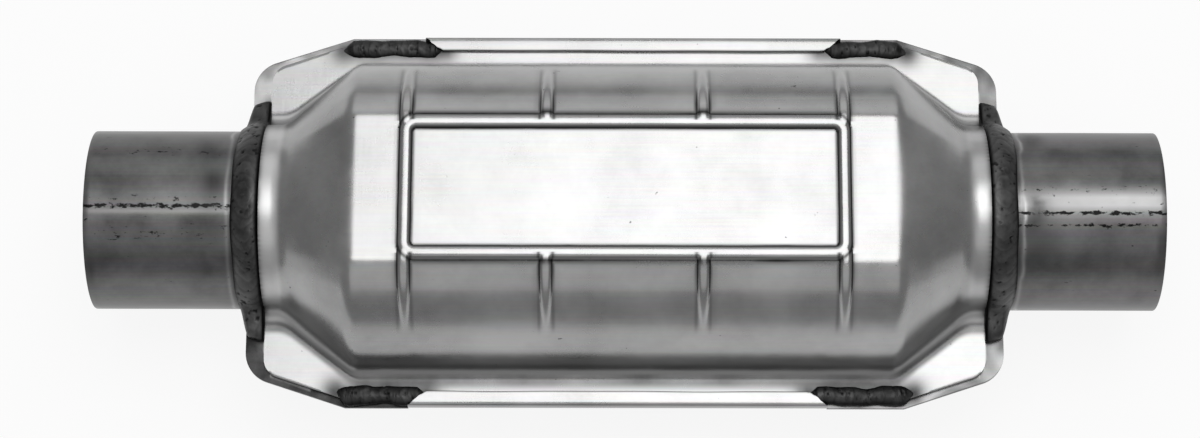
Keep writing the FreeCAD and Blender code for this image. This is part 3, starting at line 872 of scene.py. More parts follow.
        # painted shade on the flange's root, on the front side only
        if side is Side.FRONT:
            past = points[:, 0] - form.section(x).fillet_centre()[0]
            # the painted shade is widest between the folds, where the wall stands close to the hem
            width = 2.4 + 1.8 * max(1 - 3 * form.share(x), 0)
            root = smooth_step(past, -3.3, -1.5) * (1 - smooth_step(past, 0.3, width))
            total = np.maximum(total, self.root_soil * root)
        return total

    def surface(self, inset: float, x: np.ndarray) -> np.ndarray:
        """Grid of points of one face of the sheet, station by station."""
        grid = []
        for station in x:
            sides = []
            for side in (Side.FRONT, Side.REAR):
                points, reach = self.half_row(station, inset, side)
                if inset == 0:
                    soft = self.softened(points)
                    tangent = np.gradient(soft, axis=0)
                    tangent /= np.linalg.norm(tangent, axis=1)[:, None] + 1e-9
                    normal = np.stack([-tangent[:, 1], tangent[:, 0]], 1)
                    points = soft + normal * self.rise(station, reach)[:, None]
                sides.append(points)
            front = sides[0][::-1] * (-1, 1)
            grid.append(np.concatenate([front, sides[1][1:]]))
        flat = np.array(grid)
        stations = np.repeat(x[:, None], flat.shape[1], 1)
        return np.stack([stations, flat[..., 0], flat[..., 1]], -1)

    def softened(self, points: np.ndarray) -> np.ndarray:
        """Round the bend between crown and shoulder, as a punch leaves it."""
        crown = len(self.shares()[0][1])
        soft = points.copy()
        low, high = crown - 6, crown + 4
        for _ in range(10):
            middle = soft[low:high]
            soft[low:high] = (soft[low - 1:high - 1] + 2 * middle + soft[low + 1:high + 1]) / 4
        return soft

    def unevenness(self, points: np.ndarray) -> np.ndarray:
        """Slight hollows that pressing and welding leave, always towards the inside."""
        wave = np.clip(ripple_noise(points, self.hollow_length, self.seed), -1, 1)
        return self.press_hollow * (0.5 + 0.5 * wave)

    def ear_column(self) -> int:
        """Column, counted from the middle, along which the ears' inner edge runs."""
        return sum(len(share) for _, share in self.shares()[:5]) - 1

    def past_collar(self, x: np.ndarray) -> np.ndarray:
        """Which stations lie past the collar, where only the ears have sheet."""
        return np.abs(x) > self.form.collar_end + 1e-6

    def fit_ears(self, x: np.ndarray, outer: np.ndarray, inner: np.ndarray) -> None:
        """Spread the outer columns over the ears at the stations past the collar.

        Args:
            x: The stations.
            outer: Grid of the outside face, changed in place.
            inner: Grid of the inside face, changed in place.
        """
        middle, first = outer.shape[1] // 2, self.ear_column()
        lanes = {-1: slice(None, middle - first + 1), 1: slice(middle + first, None)}
        notch_y = self.form.section(self.form.collar_end).fillet_centre()[0] + self.form.ear_gap
        for step in np.flatnonzero(self.past_collar(x)):
            for sign, lane in lanes.items():
                y = outer[step, lane, 1] * sign
                share = (y - y.min()) / max(y.max() - y.min(), 1e-6)
                fresh = notch_y + share * (max(y.max(), notch_y + 0.5) - notch_y)
                outer[step, lane, 1] = inner[step, lane, 1] = sign * fresh

    def filled(self, x: np.ndarray, columns: int) -> np.ndarray:
        """Which cells of the grid hold sheet."""
        past = self.past_collar(x)
        offset = np.abs(np.arange(columns) - columns // 2)
        between_ears = np.minimum(offset[:-1], offset[1:]) < self.ear_column()
        return ~np.outer(past[:-1] | past[1:], between_ears)

    def sheet_faces(self, filled: np.ndarray) -> list[tuple[int, ...]]:
        """Faces of both sides of the sheet, and of every cut edge between them.

        Args:
            filled: Which cells of the grid hold sheet.

        Returns:
            The faces by point number, with the inside's points after the outside's.
        """
        rows, columns = filled.shape[0] + 1, filled.shape[1] + 1
        under = rows * columns
        walled = np.pad(filled, 1)
        faces = []
        for i, j in np.argwhere(filled).tolist():
            a, b = i * columns + j, i * columns + j + 1
            d, c = a + columns, b + columns
            faces += [(a, d, c, b), (a + under, b + under, c + under, d + under)]
            if not walled[i + 1, j]:
                faces.append((a, a + under, d + under, d))
            if not walled[i + 1, j + 2]:
                faces.append((b, c, c + under, b + under))
            if not walled[i, j + 1]:
                faces.append((a, b, b + under, a + under))
            if not walled[i + 2, j + 1]:
                faces.append((d, d + under, c + under, c))
        return faces

    def marks(self, x: np.ndarray, points: np.ndarray, used: np.ndarray) -> dict[str, np.ndarray]:
        """Values that the finish reads at each point.

        Args:
            x: The stations.
            points: The points that the sheet keeps.
            used: Their numbers in the whole grid.

        Returns:
            How sheared and scorched the sheet is, and where shade and a highlight are painted.
        """
        # painted crease shade, on the outside of the sheet only
        soil = np.array([np.concatenate([self.soil(station, Side.FRONT)[::-1],
                                         self.soil(station, Side.REAR)[1:]]) for station in x])
        soil = np.stack([soil, np.zeros_like(soil)])
        cut = np.zeros_like(soil)
        cut[0, :, [0, -1]] = 0.75
        cut[1, :, [0, -1]] = 1.0
        scorch = self.scorch(points)
        height = np.abs(points[:, 2])
        # painted highlight on the collars, stronger at the inlet, and painted light low on the
        # walls
        collar = smooth_step(np.abs(points[:, 0]), 107.2, 109.2) * (height > 4)
        collar *= np.where(points[:, 0] < 0, 0.7, 0.35)
        wall = 0.6 * (height > 1.6) * (1 - smooth_step(height, 7, 17))
        return {"cut": cut.reshape(-1)[used], "scorch": scorch, "soil": soil.reshape(-1)[used],
                "rub": np.maximum(collar, wall) * (1 - scorch)}

    def make(self, material: bpy.types.Material,
             extra: MeshParts | None = None) -> bpy.types.Object:
        """Build the shell's mesh.

        Args:
            material: Its finish.
            extra: Parts to join to the sheet, such as its hems.

        Returns:
            The finished piece.
        """
        x = self.stations()
        outer, inner = self.surface(0.0, x), self.surface(self.form.sheet, x)
        hollow = self.unevenness(outer.reshape(-1, 3)).reshape(outer.shape[:2])
        outer[..., 2] -= hollow * smooth_step(outer[..., 2], 1.6, 9.0)
        self.fit_ears(x, outer, inner)
        faces = np.array(self.sheet_faces(self.filled(x, outer.shape[1])))
        used, renumbered = np.unique(faces, return_inverse=True)
        points = np.concatenate([outer.reshape(-1, 3), inner.reshape(-1, 3)])[used]
        points[:, 2] *= self.turned
        parts = MeshParts()
        parts.add(points, renumbered.reshape(faces.shape).tolist(), self.turned < 0,
                  **self.marks(x, points, used))
        if extra is not None:
            parts.join(extra)
        return parts.make(self.name, material)

    def scorch(self, points: np.ndarray) -> np.ndarray:
        """How much welding has greyed the sheet, plus soot and painted shade on the lower rim."""
        total = np.zeros(len(points))
        for line, spread in self.weld_lines:
            best = np.full(len(points), np.inf)
            near = np.abs(points[:, 0] - line[:, 0].mean()) < 40
            for spot in line:
                best[near] = np.minimum(best[near], np.linalg.norm(points[near] - spot, axis=1))
            total = np.maximum(total, np.exp(-((best / spread) ** 2)))
        if self.turned < 0:
            total = self.soot_and_shade(points, total)
        return np.clip(total, 0, 1)

    def soot_and_shade(self, points: np.ndarray, scorch: np.ndarray) -> np.ndarray:
        """Scorch with soot and painted shade added on the lower flange's rim, past the upper's."""
        form = self.form
        rim = np.array([form.edge(x, form.lower_edge - form.hem_radius, form.collar_end,
                                  UPPER_CORNER) for x in points[:, 0]])
        rim[np.abs(points[:, 0]) > form.collar_end] = 0
        bare = (np.abs(points[:, 2]) < 0.3) & (np.abs(points[:, 1]) > rim - 1.0)
        patches = np.clip(ripple_noise(points, 7.0, self.seed + 20), -1, 1)
        for (end, side), soot_and_shade in EAR_SOOT_AND_SHADE.items():
            here = bare & (points[:, 0] * end.value > 0) & (points[:, 1] * side.value > 0)
            scorch = np.where(here, np.maximum(scorch, soot_and_shade + (1 - soot_and_shade) * 0.6 * patches), scorch)
        return scorch


@dataclass
class Hem:
    """The lower flange's edge, folded up and over the upper flange along one side."""

    side: Side
    low: float
    high: float
    seed: int
    form: Form = FORM
    fold_steps: int = 22
    squareness: float = 0.62
    wave_length: float = 31.0
    wave_height: float = 0.14
    raggedness: float = 0.12

    def section(self, cut_y: float, wave: float) -> np.ndarray:
        """Closed section of the fold, with its lip cut back to a given Y.

        Args:
            cut_y: Where the lip ends.
            wave: How far the lip wanders, in millimetres.

        Returns:
            The section's (y, z) points in order.
        """
        form = self.form
        fold_y, radius, sheet = form.lower_edge - form.hem_radius, form.hem_radius, form.sheet
        over = min(max((cut_y - fold_y) / radius, 0), 1)
        sweep = math.pi - math.asin(over)
        lip = 0.0 if over > 0 else fold_y - cut_y + wave
        angle = np.linspace(0, sweep, self.fold_steps)
        outward = np.stack([np.sin(angle), -np.cos(angle)], 1)
        pressed = np.sign(outward) * np.abs(outward) ** self.squareness
        centre = np.array([fold_y, sheet / 2])
        outer = centre + radius * pressed
        inner = centre + (radius - sheet) * outward
        tangent = np.array([math.cos(sweep), math.sin(sweep)])
        run = tangent * (lip * np.array([0.25, 0.5, 0.75, 0.93, 1.0]))[:, None]
        rounded = outward[-1] * np.array([0, 0, 0, 0, 0.2])[:, None]
        return np.concatenate([outer, outer[-1] + run - rounded, (inner[-1] + run)[::-1],
                               inner[::-1]])

    def make(self, parts: MeshParts) -> None:
        """Add the fold to the lower shell's parts."""
        form = self.form
        x = np.unique(np.concatenate([
            np.linspace(self.low, self.low + form.hem_cut, 13),
            np.arange(self.low + form.hem_cut, self.high - form.hem_cut, 2.0),
            np.linspace(self.high - form.hem_cut, self.high, 13)]))
        waves = self.wave_height * ripple_noise(np.stack([x, np.zeros_like(x)], 1),
                                                self.wave_length, self.seed)
        rings = []
        for station, wave in zip(x, waves):
            left = min(station - self.low, self.high - station)
            share = smooth_step(np.array([left / form.hem_cut]), -0.35, 1.12)[0]
            ragged = self.raggedness * math.sin(station * 3.1 + self.seed)
            cut_y = form.lower_edge - form.hem_band * share + ragged * (share < 0.99)
            section = self.section(cut_y, wave * (share > 0.98))
            ring = np.column_stack([np.full(len(section), station), section])
            ring[:, 1] *= self.side.value
            rings.append(ring)
        columns = len(rings[0])
        cut = np.zeros((len(rings), columns))
        cut[:, self.fold_steps + 3:self.fold_steps + 8] = 0.7
        parts.add(np.concatenate(rings), tube_faces(len(rings), columns), self.side is Side.REAR,
                  cut=cut.reshape(-1))


# ---- Pipes -----------------------------------------------------------------------------
@dataclass
class PipeStub:
    """Plain exhaust tube, sawn square, with its length-wise seam weld.

    Places round the tube are in degrees from the top, towards the rear. A row of pits is
    its place, its half width in millimetres and how thick the pits stand, up to 1.
    """

    end: End
    seam_degrees: float
    seam_and_highlight_strength: float
    seam_and_highlight_width: float
    pit_rows: tuple[tuple[float, float, float], ...]
    seed: int
    form: Form = FORM
    start: float = 106.0
    stop: float = 169.5
    weld_toe: float = 124.5
    saw_break: float = 0.25
    flash_width: float = 1.3
    flash_height: float = 0.35
    scarf_width: float = 1.8
    scarf_depth: float = 0.05
    wobble: float = 0.03
    sides: int = 480

    def profile(self) -> np.ndarray:
        """Closed (x, r) section of the wall: along the outside, then back along the bore."""
        stop, b = self.stop, self.saw_break
        radius, bore = self.form.pipe_radius, self.form.pipe_bore
        outer_x = [self.start, 112.0, 117.0, *np.arange(120, 128, 0.4),
                   *np.linspace(128, stop - 2, 26)]
        rim = [(stop - b, radius), (stop - 0.3 * b, radius - 0.3 * b), (stop, radius - b),
               (stop, bore + b), (stop - b, bore)]
        inner_x = [*np.linspace(stop - 2, self.start + 2, 12), self.start]
        return np.array([*((x, radius) for x in outer_x), *rim, *((x, bore) for x in inner_x)])

    def off(self, angle: np.ndarray, degrees: float) -> np.ndarray:
        """Distance round the outside from a place, in millimetres."""
        return np.abs(angle_gap(angle, math.radians(degrees))) * self.form.pipe_radius

    def outside(self, reach: np.ndarray | float) -> np.ndarray | bool:
        """Whether a distance from the axis is nearer the outside than the bore."""
        return reach > (self.form.pipe_radius + self.form.pipe_bore) / 2

    def marks(self, points: np.ndarray, angle: np.ndarray) -> dict[str, np.ndarray]:
        """Values that the finish reads at each point.

        Args:
            points: The tube's points, ring after ring.
            angle: Angle of each point of a ring.

        Returns:
            Where the tube is sawn, scorched, pale along its seam and pitted; a wide
            stripe is a painted highlight.
        """
        rings = len(points) // self.sides
        x, reach = np.abs(points[:, 0]), np.hypot(points[:, 1], points[:, 2])
        outside = self.outside(reach)
        # a thin paler line just past the bead's toe, wandering and broken up by noise
        toe_noise = np.clip(ripple_noise(points, 9.0, self.seed + 60), 0, 1)
        toe_line = np.exp(-((x - self.weld_toe - 0.8 * toe_noise) / 0.55) ** 2) * outside
        toe_line *= 0.4 + 0.6 * toe_noise
        # heat: a band at the toe, patches past it and traces at the sawn end
        patches = 0.5 + 0.5 * np.clip(ripple_noise(points, 17.0, self.seed + 40), -1, 1)
        band = 0.8 * np.exp(-((x - self.weld_toe + 1.9) / 1.3) ** 2)
        cloud = 0.75 * patches ** 2 * np.exp(-((x - self.weld_toe - 4.5) / 5.0) ** 2)
        trace = 0.5 * patches ** 3 * (x > self.stop - 2.6)
        scorch = np.maximum(np.maximum(band, cloud), trace) * (1 - toe_line) * outside
        # pale stripe along the seam; a wide one is a painted highlight
        seam = np.exp(-((self.off(angle, self.seam_degrees) / (self.seam_and_highlight_width / 2)) ** 2))
        seam = np.clip(1.2 * seam, 0, 1) * self.seam_and_highlight_strength
        pit = np.zeros(self.sides)
        for degrees, width, strength in self.pit_rows:
            pit = np.maximum(pit, strength * np.exp(-((self.off(angle, degrees) / width) ** 2)))
        sawn = (x > self.stop - 0.01) & (reach < self.form.pipe_radius - 0.1)
        return {"cut": sawn.astype(float), "scorch": scorch,
                "seam": np.maximum(np.tile(seam, rings), toe_line),
                "pit": np.tile(pit, rings) * outside}

    def make(self, material: bpy.types.Material) -> bpy.types.Object:
        """Build the tube."""
        angle = np.linspace(0, 2 * math.pi, self.sides, endpoint=False)
        off_seam = self.off(angle, self.seam_degrees)
        flash = self.flash_height * np.exp(-((off_seam / (self.flash_width / 2)) ** 2))
        scarf = self.scarf_depth * np.exp(-((off_seam / (self.scarf_width / 2)) ** 2))
        rings = []
        for x, r in self.profile():
            wobble = self.wobble * (np.sin(angle * 3 + x / 17 + self.seed) - 1)
            reach = r - scarf + wobble if self.outside(r) else r - flash
            rings.append(np.stack([np.full_like(angle, x * self.end.value),
                                   reach * np.sin(angle), reach * np.cos(angle)], 1))
        points = np.concatenate(rings)
        parts = MeshParts()
        parts.add(points, loop_faces(len(rings), self.sides), self.end is End.OUTLET,
                  **self.marks(points, angle))
        return parts.make(f"{self.end.node('pipe')}_tube", material)


# ---- Geometry trees --------------------------------------------------------------------
def start_tree(name: str, floats: tuple[str, ...],
               counts: tuple[str, ...] = ()) -> tuple[bpy.types.NodeTree, Any]:
    """Start a geometry tree with named inputs and a material for what it makes.

    Args:
        name: The tree's name.
        floats: Names of its sizes and shares.
        counts: Names of its whole numbers.

    Returns:
        The tree, and its inputs as sockets that can be read by name.
    """
    tree = bpy.data.node_groups.new(name, "GeometryNodeTree")
    tree.interface.new_socket("Geometry", in_out="OUTPUT", socket_type="NodeSocketGeometry")
    labels = [("Geometry", "NodeSocketGeometry"), *((label, "NodeSocketFloat") for label in floats),
              *((label, "NodeSocketInt") for label in counts), ("Material", "NodeSocketMaterial")]
    for label, kind in labels:
        tree.interface.new_socket(label, in_out="INPUT", socket_type=kind)
    return tree, tree.nodes.new("NodeGroupInput").outputs


def end_tree(tree: bpy.types.NodeTree, made: bpy.types.Node,
             material: bpy.types.NodeSocket) -> bpy.types.NodeTree:
    """End a tree in real faces of one material.

    Args:
        tree: The tree.
        made: The node that makes its geometry.
        material: The socket that gives its material.

    Returns:
        The same tree.
    """
    real = add_node(tree, "GeometryNodeRealizeInstances", {"Geometry": made})
    done = add_node(tree, "GeometryNodeSetMaterial", {"Geometry": real, "Material": material})
    add_node(tree, "NodeGroupOutput", {0: done})
    return tree


def run_tree(piece: bpy.types.Object, tree: bpy.types.NodeTree,
             values: dict[str, Any]) -> bpy.types.Object:
    """Run a geometry tree on a piece and keep the result as its plain mesh.

    Args:
        piece: The object to change.
        tree: The tree.
        values: Input name to value.

    Returns:
        The same object with its new mesh.
    """
    modifier = piece.modifiers.new(tree.name, "NODES")
    modifier.node_group = tree
    for item in tree.interface.items_tree:
        if item.in_out == "INPUT" and item.name in values:
            modifier[item.identifier] = values[item.name]
    ready = piece.evaluated_get(bpy.context.evaluated_depsgraph_get())
    mesh = bpy.data.meshes.new_from_object(ready)
    piece.modifiers.remove(modifier)
    piece.data = mesh
    return piece


# ---- Welds -----------------------------------------------------------------------------
@dataclass(frozen=True)
class RippleTree:
    """Geometry nodes that lay a weld's ripples, lumps and pits on a bare bead.

    The bead's points carry "along" (metres run) and "across" (-1 to 1 between its toes).
    """

    name: str = "weld_ripples"

    def build(self) -> bpy.types.NodeTree:
        """Build the tree."""
        tree, given = start_tree(self.name, (
            "Ripple Pitch", "Ripple Height", "Ripple Shade", "Ripple Bow", "Lump Size",
            "Lump Height", "Pit Depth", "Seed"))
        along, across = [add_node(tree, "GeometryNodeInputNamedAttribute", {"Name": name},
                                  data_type="FLOAT").outputs["Attribute"]
                         for name in ("along", "across")]
        place = add_node(tree, "GeometryNodeInputPosition").outputs[0]
        square = add_node(tree, "ShaderNodeMath", {0: across, 1: across}, operation="MULTIPLY")
        size = add_node(tree, "ShaderNodeMath", {
            0: 1.0, 1: given["Lump Size"]}, operation="DIVIDE")
        lumps = add_node(tree, "ShaderNodeTexNoise", {
            "Vector": place, "W": given["Seed"], "Scale": size, "Detail": 2.0},
            noise_dimensions="4D")
        fine = add_node(tree, "ShaderNodeMath", {0: size, 1: 3.4}, operation="MULTIPLY")
        pits = add_node(tree, "ShaderNodeTexNoise", {
            "Vector": place, "W": given["Seed"], "Scale": fine, "Detail": 1.0},
            noise_dimensions="4D")
        steps = add_node(tree, "ShaderNodeMath", {
            0: along, 1: given["Ripple Pitch"]}, operation="DIVIDE")
        bowed = add_node(tree, "ShaderNodeMath", {
            0: square, 1: given["Ripple Bow"], 2: steps}, operation="MULTIPLY_ADD")
        uneven = add_node(tree, "ShaderNodeMath", {
            0: lumps, 1: 2.2, 2: bowed}, operation="MULTIPLY_ADD")
        saw = add_node(tree, "ShaderNodeMath", {0: uneven}, operation="FRACT")
        hump = add_node(tree, "ShaderNodeMath", {0: saw, 1: 0.62}, operation="POWER")
        drop = add_node(tree, "ShaderNodeMapRange", {
            "Value": saw, "From Min": 0.82, "From Max": 1.0, "To Min": 1.0, "To Max": 0.0},
            interpolation_type="SMOOTHSTEP")
        ripple = add_node(tree, "ShaderNodeMath", {0: hump, 1: drop}, operation="MULTIPLY")
        middle = add_node(tree, "ShaderNodeMath", {
            0: 1.0, 1: square}, operation="SUBTRACT", use_clamp=True)
        ripple_rise = add_node(tree, "ShaderNodeMath", {
            0: ripple, 1: given["Ripple Height"]}, operation="MULTIPLY")
        lump_share = add_node(tree, "ShaderNodeMath", {0: lumps, 1: 0.5}, operation="SUBTRACT")
        lump_rise = add_node(tree, "ShaderNodeMath", {
            0: lump_share, 1: given["Lump Height"], 2: ripple_rise}, operation="MULTIPLY_ADD")
        pitted = add_node(tree, "ShaderNodeMapRange", {
            "Value": pits, "From Min": 0.64, "From Max": 0.74})
        pit_drop = add_node(tree, "ShaderNodeMath", {
            0: pitted, 1: given["Pit Depth"]}, operation="MULTIPLY")
        total = add_node(tree, "ShaderNodeMath", {0: lump_rise, 1: pit_drop}, operation="SUBTRACT")
        rise = add_node(tree, "ShaderNodeMath", {0: total, 1: middle}, operation="MULTIPLY")
        normal = add_node(tree, "GeometryNodeInputNormal").outputs[0]
        move = add_node(tree, "ShaderNodeVectorMath", {
            0: normal, "Scale": rise}, operation="SCALE")
        lines = add_node(tree, "ShaderNodeMath", {
            0: ripple, 1: given["Ripple Shade"]}, operation="MULTIPLY")
        mottled = add_node(tree, "ShaderNodeMath", {
            0: lumps, 1: 0.75, 2: lines}, operation="MULTIPLY_ADD")
        shade = add_node(tree, "ShaderNodeMath", {
            0: mottled, 1: pitted}, operation="SUBTRACT", use_clamp=True)
        stored = add_node(tree, "GeometryNodeStoreNamedAttribute", {
            "Geometry": given["Geometry"], "Name": "ripple", "Value": shade}, data_type="FLOAT",
            domain="POINT")
        moved = add_node(tree, "GeometryNodeSetPosition", {"Geometry": stored, "Offset": move})
        return end_tree(tree, moved, given["Material"])


@dataclass(frozen=True)
class BeadStyle:
    """How a weld was run: its ripple, lumps and pits, in millimetres."""

    pitch: float
    height: float
    shade: float
    bow: float
    lump_size: float
    lump_height: float
    pit_depth: float

    def values(self, seed: float, material: bpy.types.Material) -> dict[str, Any]:
        """Inputs of the ripple tree."""
        return {"Ripple Pitch": self.pitch * MM, "Ripple Height": self.height * MM,
                "Ripple Shade": self.shade, "Ripple Bow": self.bow,
                "Lump Size": self.lump_size * MM, "Lump Height": self.lump_height * MM,
                "Pit Depth": self.pit_depth * MM, "Seed": seed, "Material": material}


NECK_STYLE = BeadStyle(pitch=3.4, height=0.07, shade=0.24, bow=1.3, lump_size=6.0,
                       lump_height=0.6, pit_depth=0.4)
CORNER_STYLE = BeadStyle(pitch=3.1, height=0.14, shade=0.5, bow=0.8, lump_size=3.8,
                         lump_height=1.4, pit_depth=0.6)
# angle in degrees above which an edge of a bead is drawn sharp
BEAD_CREASE = 60.0


@dataclass
class NeckBead:
    """Fat bead between collar and pipe, built up by a second pass at each seam.

    The lumps of the second pass reach out by side, and lie so many degrees above the seam.
    """

    end: End
    seed: int
    lump_reach: dict[Side, float]
    lump_angle: dict[Side, float]
    form: Form = FORM
    last_x: float = 123.3
    swell: float = 1.75
    lump_spread: float = 0.135
    flat_spread: float = 0.2
    sides: int = 640
    top: int = 26

    def ring(self, angle: float) -> tuple[np.ndarray, np.ndarray]:
        """Closed section of the bead at an angle from upright.

        Args:
            angle: Angle round the pipe, positive towards +Y.

        Returns:
            The (x, r) points and the "across" value of each.
        """
        form = self.form
        pipe, collar, collar_end = form.pipe_radius, form.neck.radius, form.collar_end
        wander = 0.45 * math.sin(3 * angle + self.seed) + 0.25 * math.sin(8 * angle + 2 * self.seed)
        lump, flattened = 0.0, 0.0
        for side in Side:
            gap = angle_gap(angle, side.value * math.radians(90 - self.lump_angle[side]))
            lump = max(lump, self.lump_reach[side] * math.exp(-abs(gap / self.lump_spread) ** 2.6))
            flattened = max(flattened, math.exp(-abs(gap / self.flat_spread) ** 3))
        first = collar_end + 0.12 + 0.12 * wander
        last = self.last_x + 0.5 * wander
        share = np.linspace(0, 1, self.top)
        base = collar - 0.35 + share * (pipe + 0.23 - collar)
        lean = 1 + 0.5 * (0.5 - share)
        bulge = (self.swell + 0.25 * wander) * (4 * share * (1 - share)) ** 0.5 * lean
        hill = lump * smooth_step(1 - share, 0.0, 0.42) * (1 - 0.12 * share)
        radius = base + bulge * (1 - 0.4 * flattened) + hill
        x = first + share * (last - first)
        root = np.array([(last, pipe - 0.5), (collar_end - 0.3, pipe - 0.5),
                         (collar_end - 0.3, collar - 0.9)])
        across = np.concatenate([share * 2 - 1, np.ones(len(root))])
        return np.concatenate([np.column_stack([x, radius]), root]), across

    def make(self, tree: bpy.types.NodeTree, material: bpy.types.Material) -> bpy.types.Object:
        """Build the bead."""
        rings, across, along = [], [], []
        for step in range(self.sides):
            angle = -math.pi + 2 * math.pi * step / self.sides
            section, share = self.ring(angle)
            rings.append(np.column_stack([section[:, 0] * self.end.value,
                                          section[:, 1] * math.sin(angle),
                                          section[:, 1] * math.cos(angle)]))
            across.append(share)
            along.append(np.full(len(share), abs(angle) * self.form.pipe_radius * MM))
        across = np.concatenate(across)
        # painted shade at both toes, a little less on the pipe
        toe = np.clip((np.abs(across) - 0.72) / 0.2, 0, 1) ** 1.3 * np.where(across < 0, 1.0, 0.8)
        parts = MeshParts()
        parts.add(np.concatenate(rings), loop_faces(self.sides, len(rings[0])),
                  self.end is End.INLET, along=np.concatenate(along), across=across, toe=toe)
        piece = parts.make(f"{self.end.node('neck_weld')}_bead", material, BEAD_CREASE)
        return run_tree(piece, tree, NECK_STYLE.values(self.seed * 1.7, material))


@dataclass
class CornerBead:
    """Lumpy bead from a hem's end to just past the flange's bend."""

    end: End
    side: Side
    hem_x: float
    seed: int
    knob: float
    form: Form = FORM
    radius: float = 2.2
    half_width: float = 3.2
    setback: float = 0.62
    lift: float = 0.7
    run: float = 3.0
    sides: int = 30
    steps: int = 190

    def node(self) -> str:
        """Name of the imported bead."""
        return self.end.node(f"{self.side.name.lower()}_corner_weld")

    def line(self) -> np.ndarray:
        """Points along the bead's middle, in millimetres."""
        bend = self.form.bend_x()
        x = np.linspace(self.hem_x - self.form.hem_cut, bend + self.run, self.steps)
        slope = math.tan(math.radians(self.form.flange_slant))
        y = self.form.lower_edge - self.half_width - np.maximum(x - bend, 0) * slope
        wander = 0.22 * np.sin(x / 3.1 + self.seed) + 0.12 * np.sin(x / 1.3 + 2 * self.seed)
        return np.column_stack([x, y + wander - self.setback, np.full_like(x, self.lift)])

    def sizes(self, x: np.ndarray) -> np.ndarray:
        """Share of the full radius at each station."""
        bend = self.form.bend_x()
        stations = [self.hem_x - 6, self.hem_x - 5, self.hem_x - 3, bend - 9, bend - 6,
                    bend - 2, bend, bend + self.run]
        size = np.interp(x, stations, [0.2, 0.5, 0.97, 0.9, 1.0, self.knob, 0.98, 0.3])
        return size * (1 + 0.05 * np.sin(x / 1.9 + 3 * self.seed))

    def make(self, tree: bpy.types.NodeTree, material: bpy.types.Material) -> bpy.types.Object:
        """Build the bead."""
        line = self.line()
        size = self.sizes(line[:, 0])
        angle = np.linspace(0, 2 * math.pi, self.sides, endpoint=False)
        sign = np.array([self.end.value, self.side.value, 1])
        rings = []
        for (x, y, z), share in zip(line, size):
            half = self.half_width * min(share, 1.02)
            rings.append(np.column_stack([np.full(self.sides, x), y + half * np.sin(angle),
                                          z + self.radius * share * np.cos(angle)]) * sign)
        run = np.concatenate([[0], np.cumsum(np.linalg.norm(np.diff(line, axis=0), axis=1))])
        across = np.tile(np.sin(angle) * 0.9, self.steps)
        # the whole bead is sooty, and its toes are darkest, with painted shade
        toe = np.clip(0.5 + (np.abs(across) - 0.6) / 0.4, 0.5, 1)
        parts = MeshParts()
        parts.add(np.concatenate(rings), tube_faces(self.steps, self.sides),
                  self.end.value == self.side.value, along=np.repeat(run * MM, self.sides),
                  across=across, toe=toe)
        piece = parts.make(f"{self.node()}_bead", material, BEAD_CREASE)
        return run_tree(piece, tree, CORNER_STYLE.values(self.seed * 2.3, material))


# ---- Inside ----------------------------------------------------------------------------
@dataclass(frozen=True)
class CellTree:
    """Geometry nodes that stand open square cells over a brick's face."""

    name: str = "honeycomb_cells"
    oval_power: float = 2.5

    def build(self) -> bpy.types.NodeTree:
        """Build the tree."""
        tree, given = start_tree(self.name, ("Pitch", "Wall", "Depth", "Half Width",
                                             "Half Height"), ("Columns", "Rows"))
        square = add_node(tree, "GeometryNodeMeshGrid", {
            "Size X": given["Pitch"], "Size Y": given["Pitch"], "Vertices X": 2, "Vertices Y": 2})
        rim = add_node(tree, "GeometryNodeExtrudeMesh", {
            "Mesh": square, "Offset Scale": 0.0, "Individual": True}, mode="FACES")
        wall = add_node(tree, "ShaderNodeMath", {
            0: given["Wall"], 1: given["Pitch"]}, operation="DIVIDE")
        opening = add_node(tree, "ShaderNodeMath", {0: 1.0, 1: wall}, operation="SUBTRACT")
        mouth = add_node(tree, "GeometryNodeScaleElements", {
            "Geometry": rim.outputs["Mesh"], "Selection": rim.outputs["Top"], "Scale": opening},
            domain="FACE")
        down = add_node(tree, "ShaderNodeMath", {0: given["Depth"], 1: -1.0}, operation="MULTIPLY")
        cup = add_node(tree, "GeometryNodeExtrudeMesh", {
            "Mesh": mouth, "Selection": rim.outputs["Top"], "Offset Scale": down,
            "Individual": True}, mode="FACES")
        wide, tall = [add_node(tree, "ShaderNodeMath", {0: given[count], 1: given["Pitch"]},
                               operation="MULTIPLY") for count in ("Columns", "Rows")]
        spots = add_node(tree, "GeometryNodeMeshGrid", {
            "Size X": wide, "Size Y": tall, "Vertices X": given["Columns"],
            "Vertices Y": given["Rows"]})
        place = add_node(tree, "GeometryNodeInputPosition").outputs[0]
        parts = add_node(tree, "ShaderNodeSeparateXYZ", {0: place})
        reach = []
        for axis, half in ((0, "Half Width"), (1, "Half Height")):
            share = add_node(tree, "ShaderNodeMath", {
                0: parts.outputs[axis], 1: given[half]}, operation="DIVIDE")
            size = add_node(tree, "ShaderNodeMath", {0: share}, operation="ABSOLUTE")
            reach.append(add_node(tree, "ShaderNodeMath", {0: size, 1: self.oval_power},
                                  operation="POWER").outputs[0])
        total = add_node(tree, "ShaderNodeMath", {0: reach[0], 1: reach[1]})
        outside = add_node(tree, "ShaderNodeMath", {0: total, 1: 1.0}, operation="GREATER_THAN")
        kept = add_node(tree, "GeometryNodeDeleteGeometry", {
            "Geometry": spots, "Selection": outside}, domain="POINT")
        cells = add_node(tree, "GeometryNodeInstanceOnPoints", {
            "Points": kept, "Instance": cup.outputs["Mesh"]})
        return end_tree(tree, cells, given["Material"])


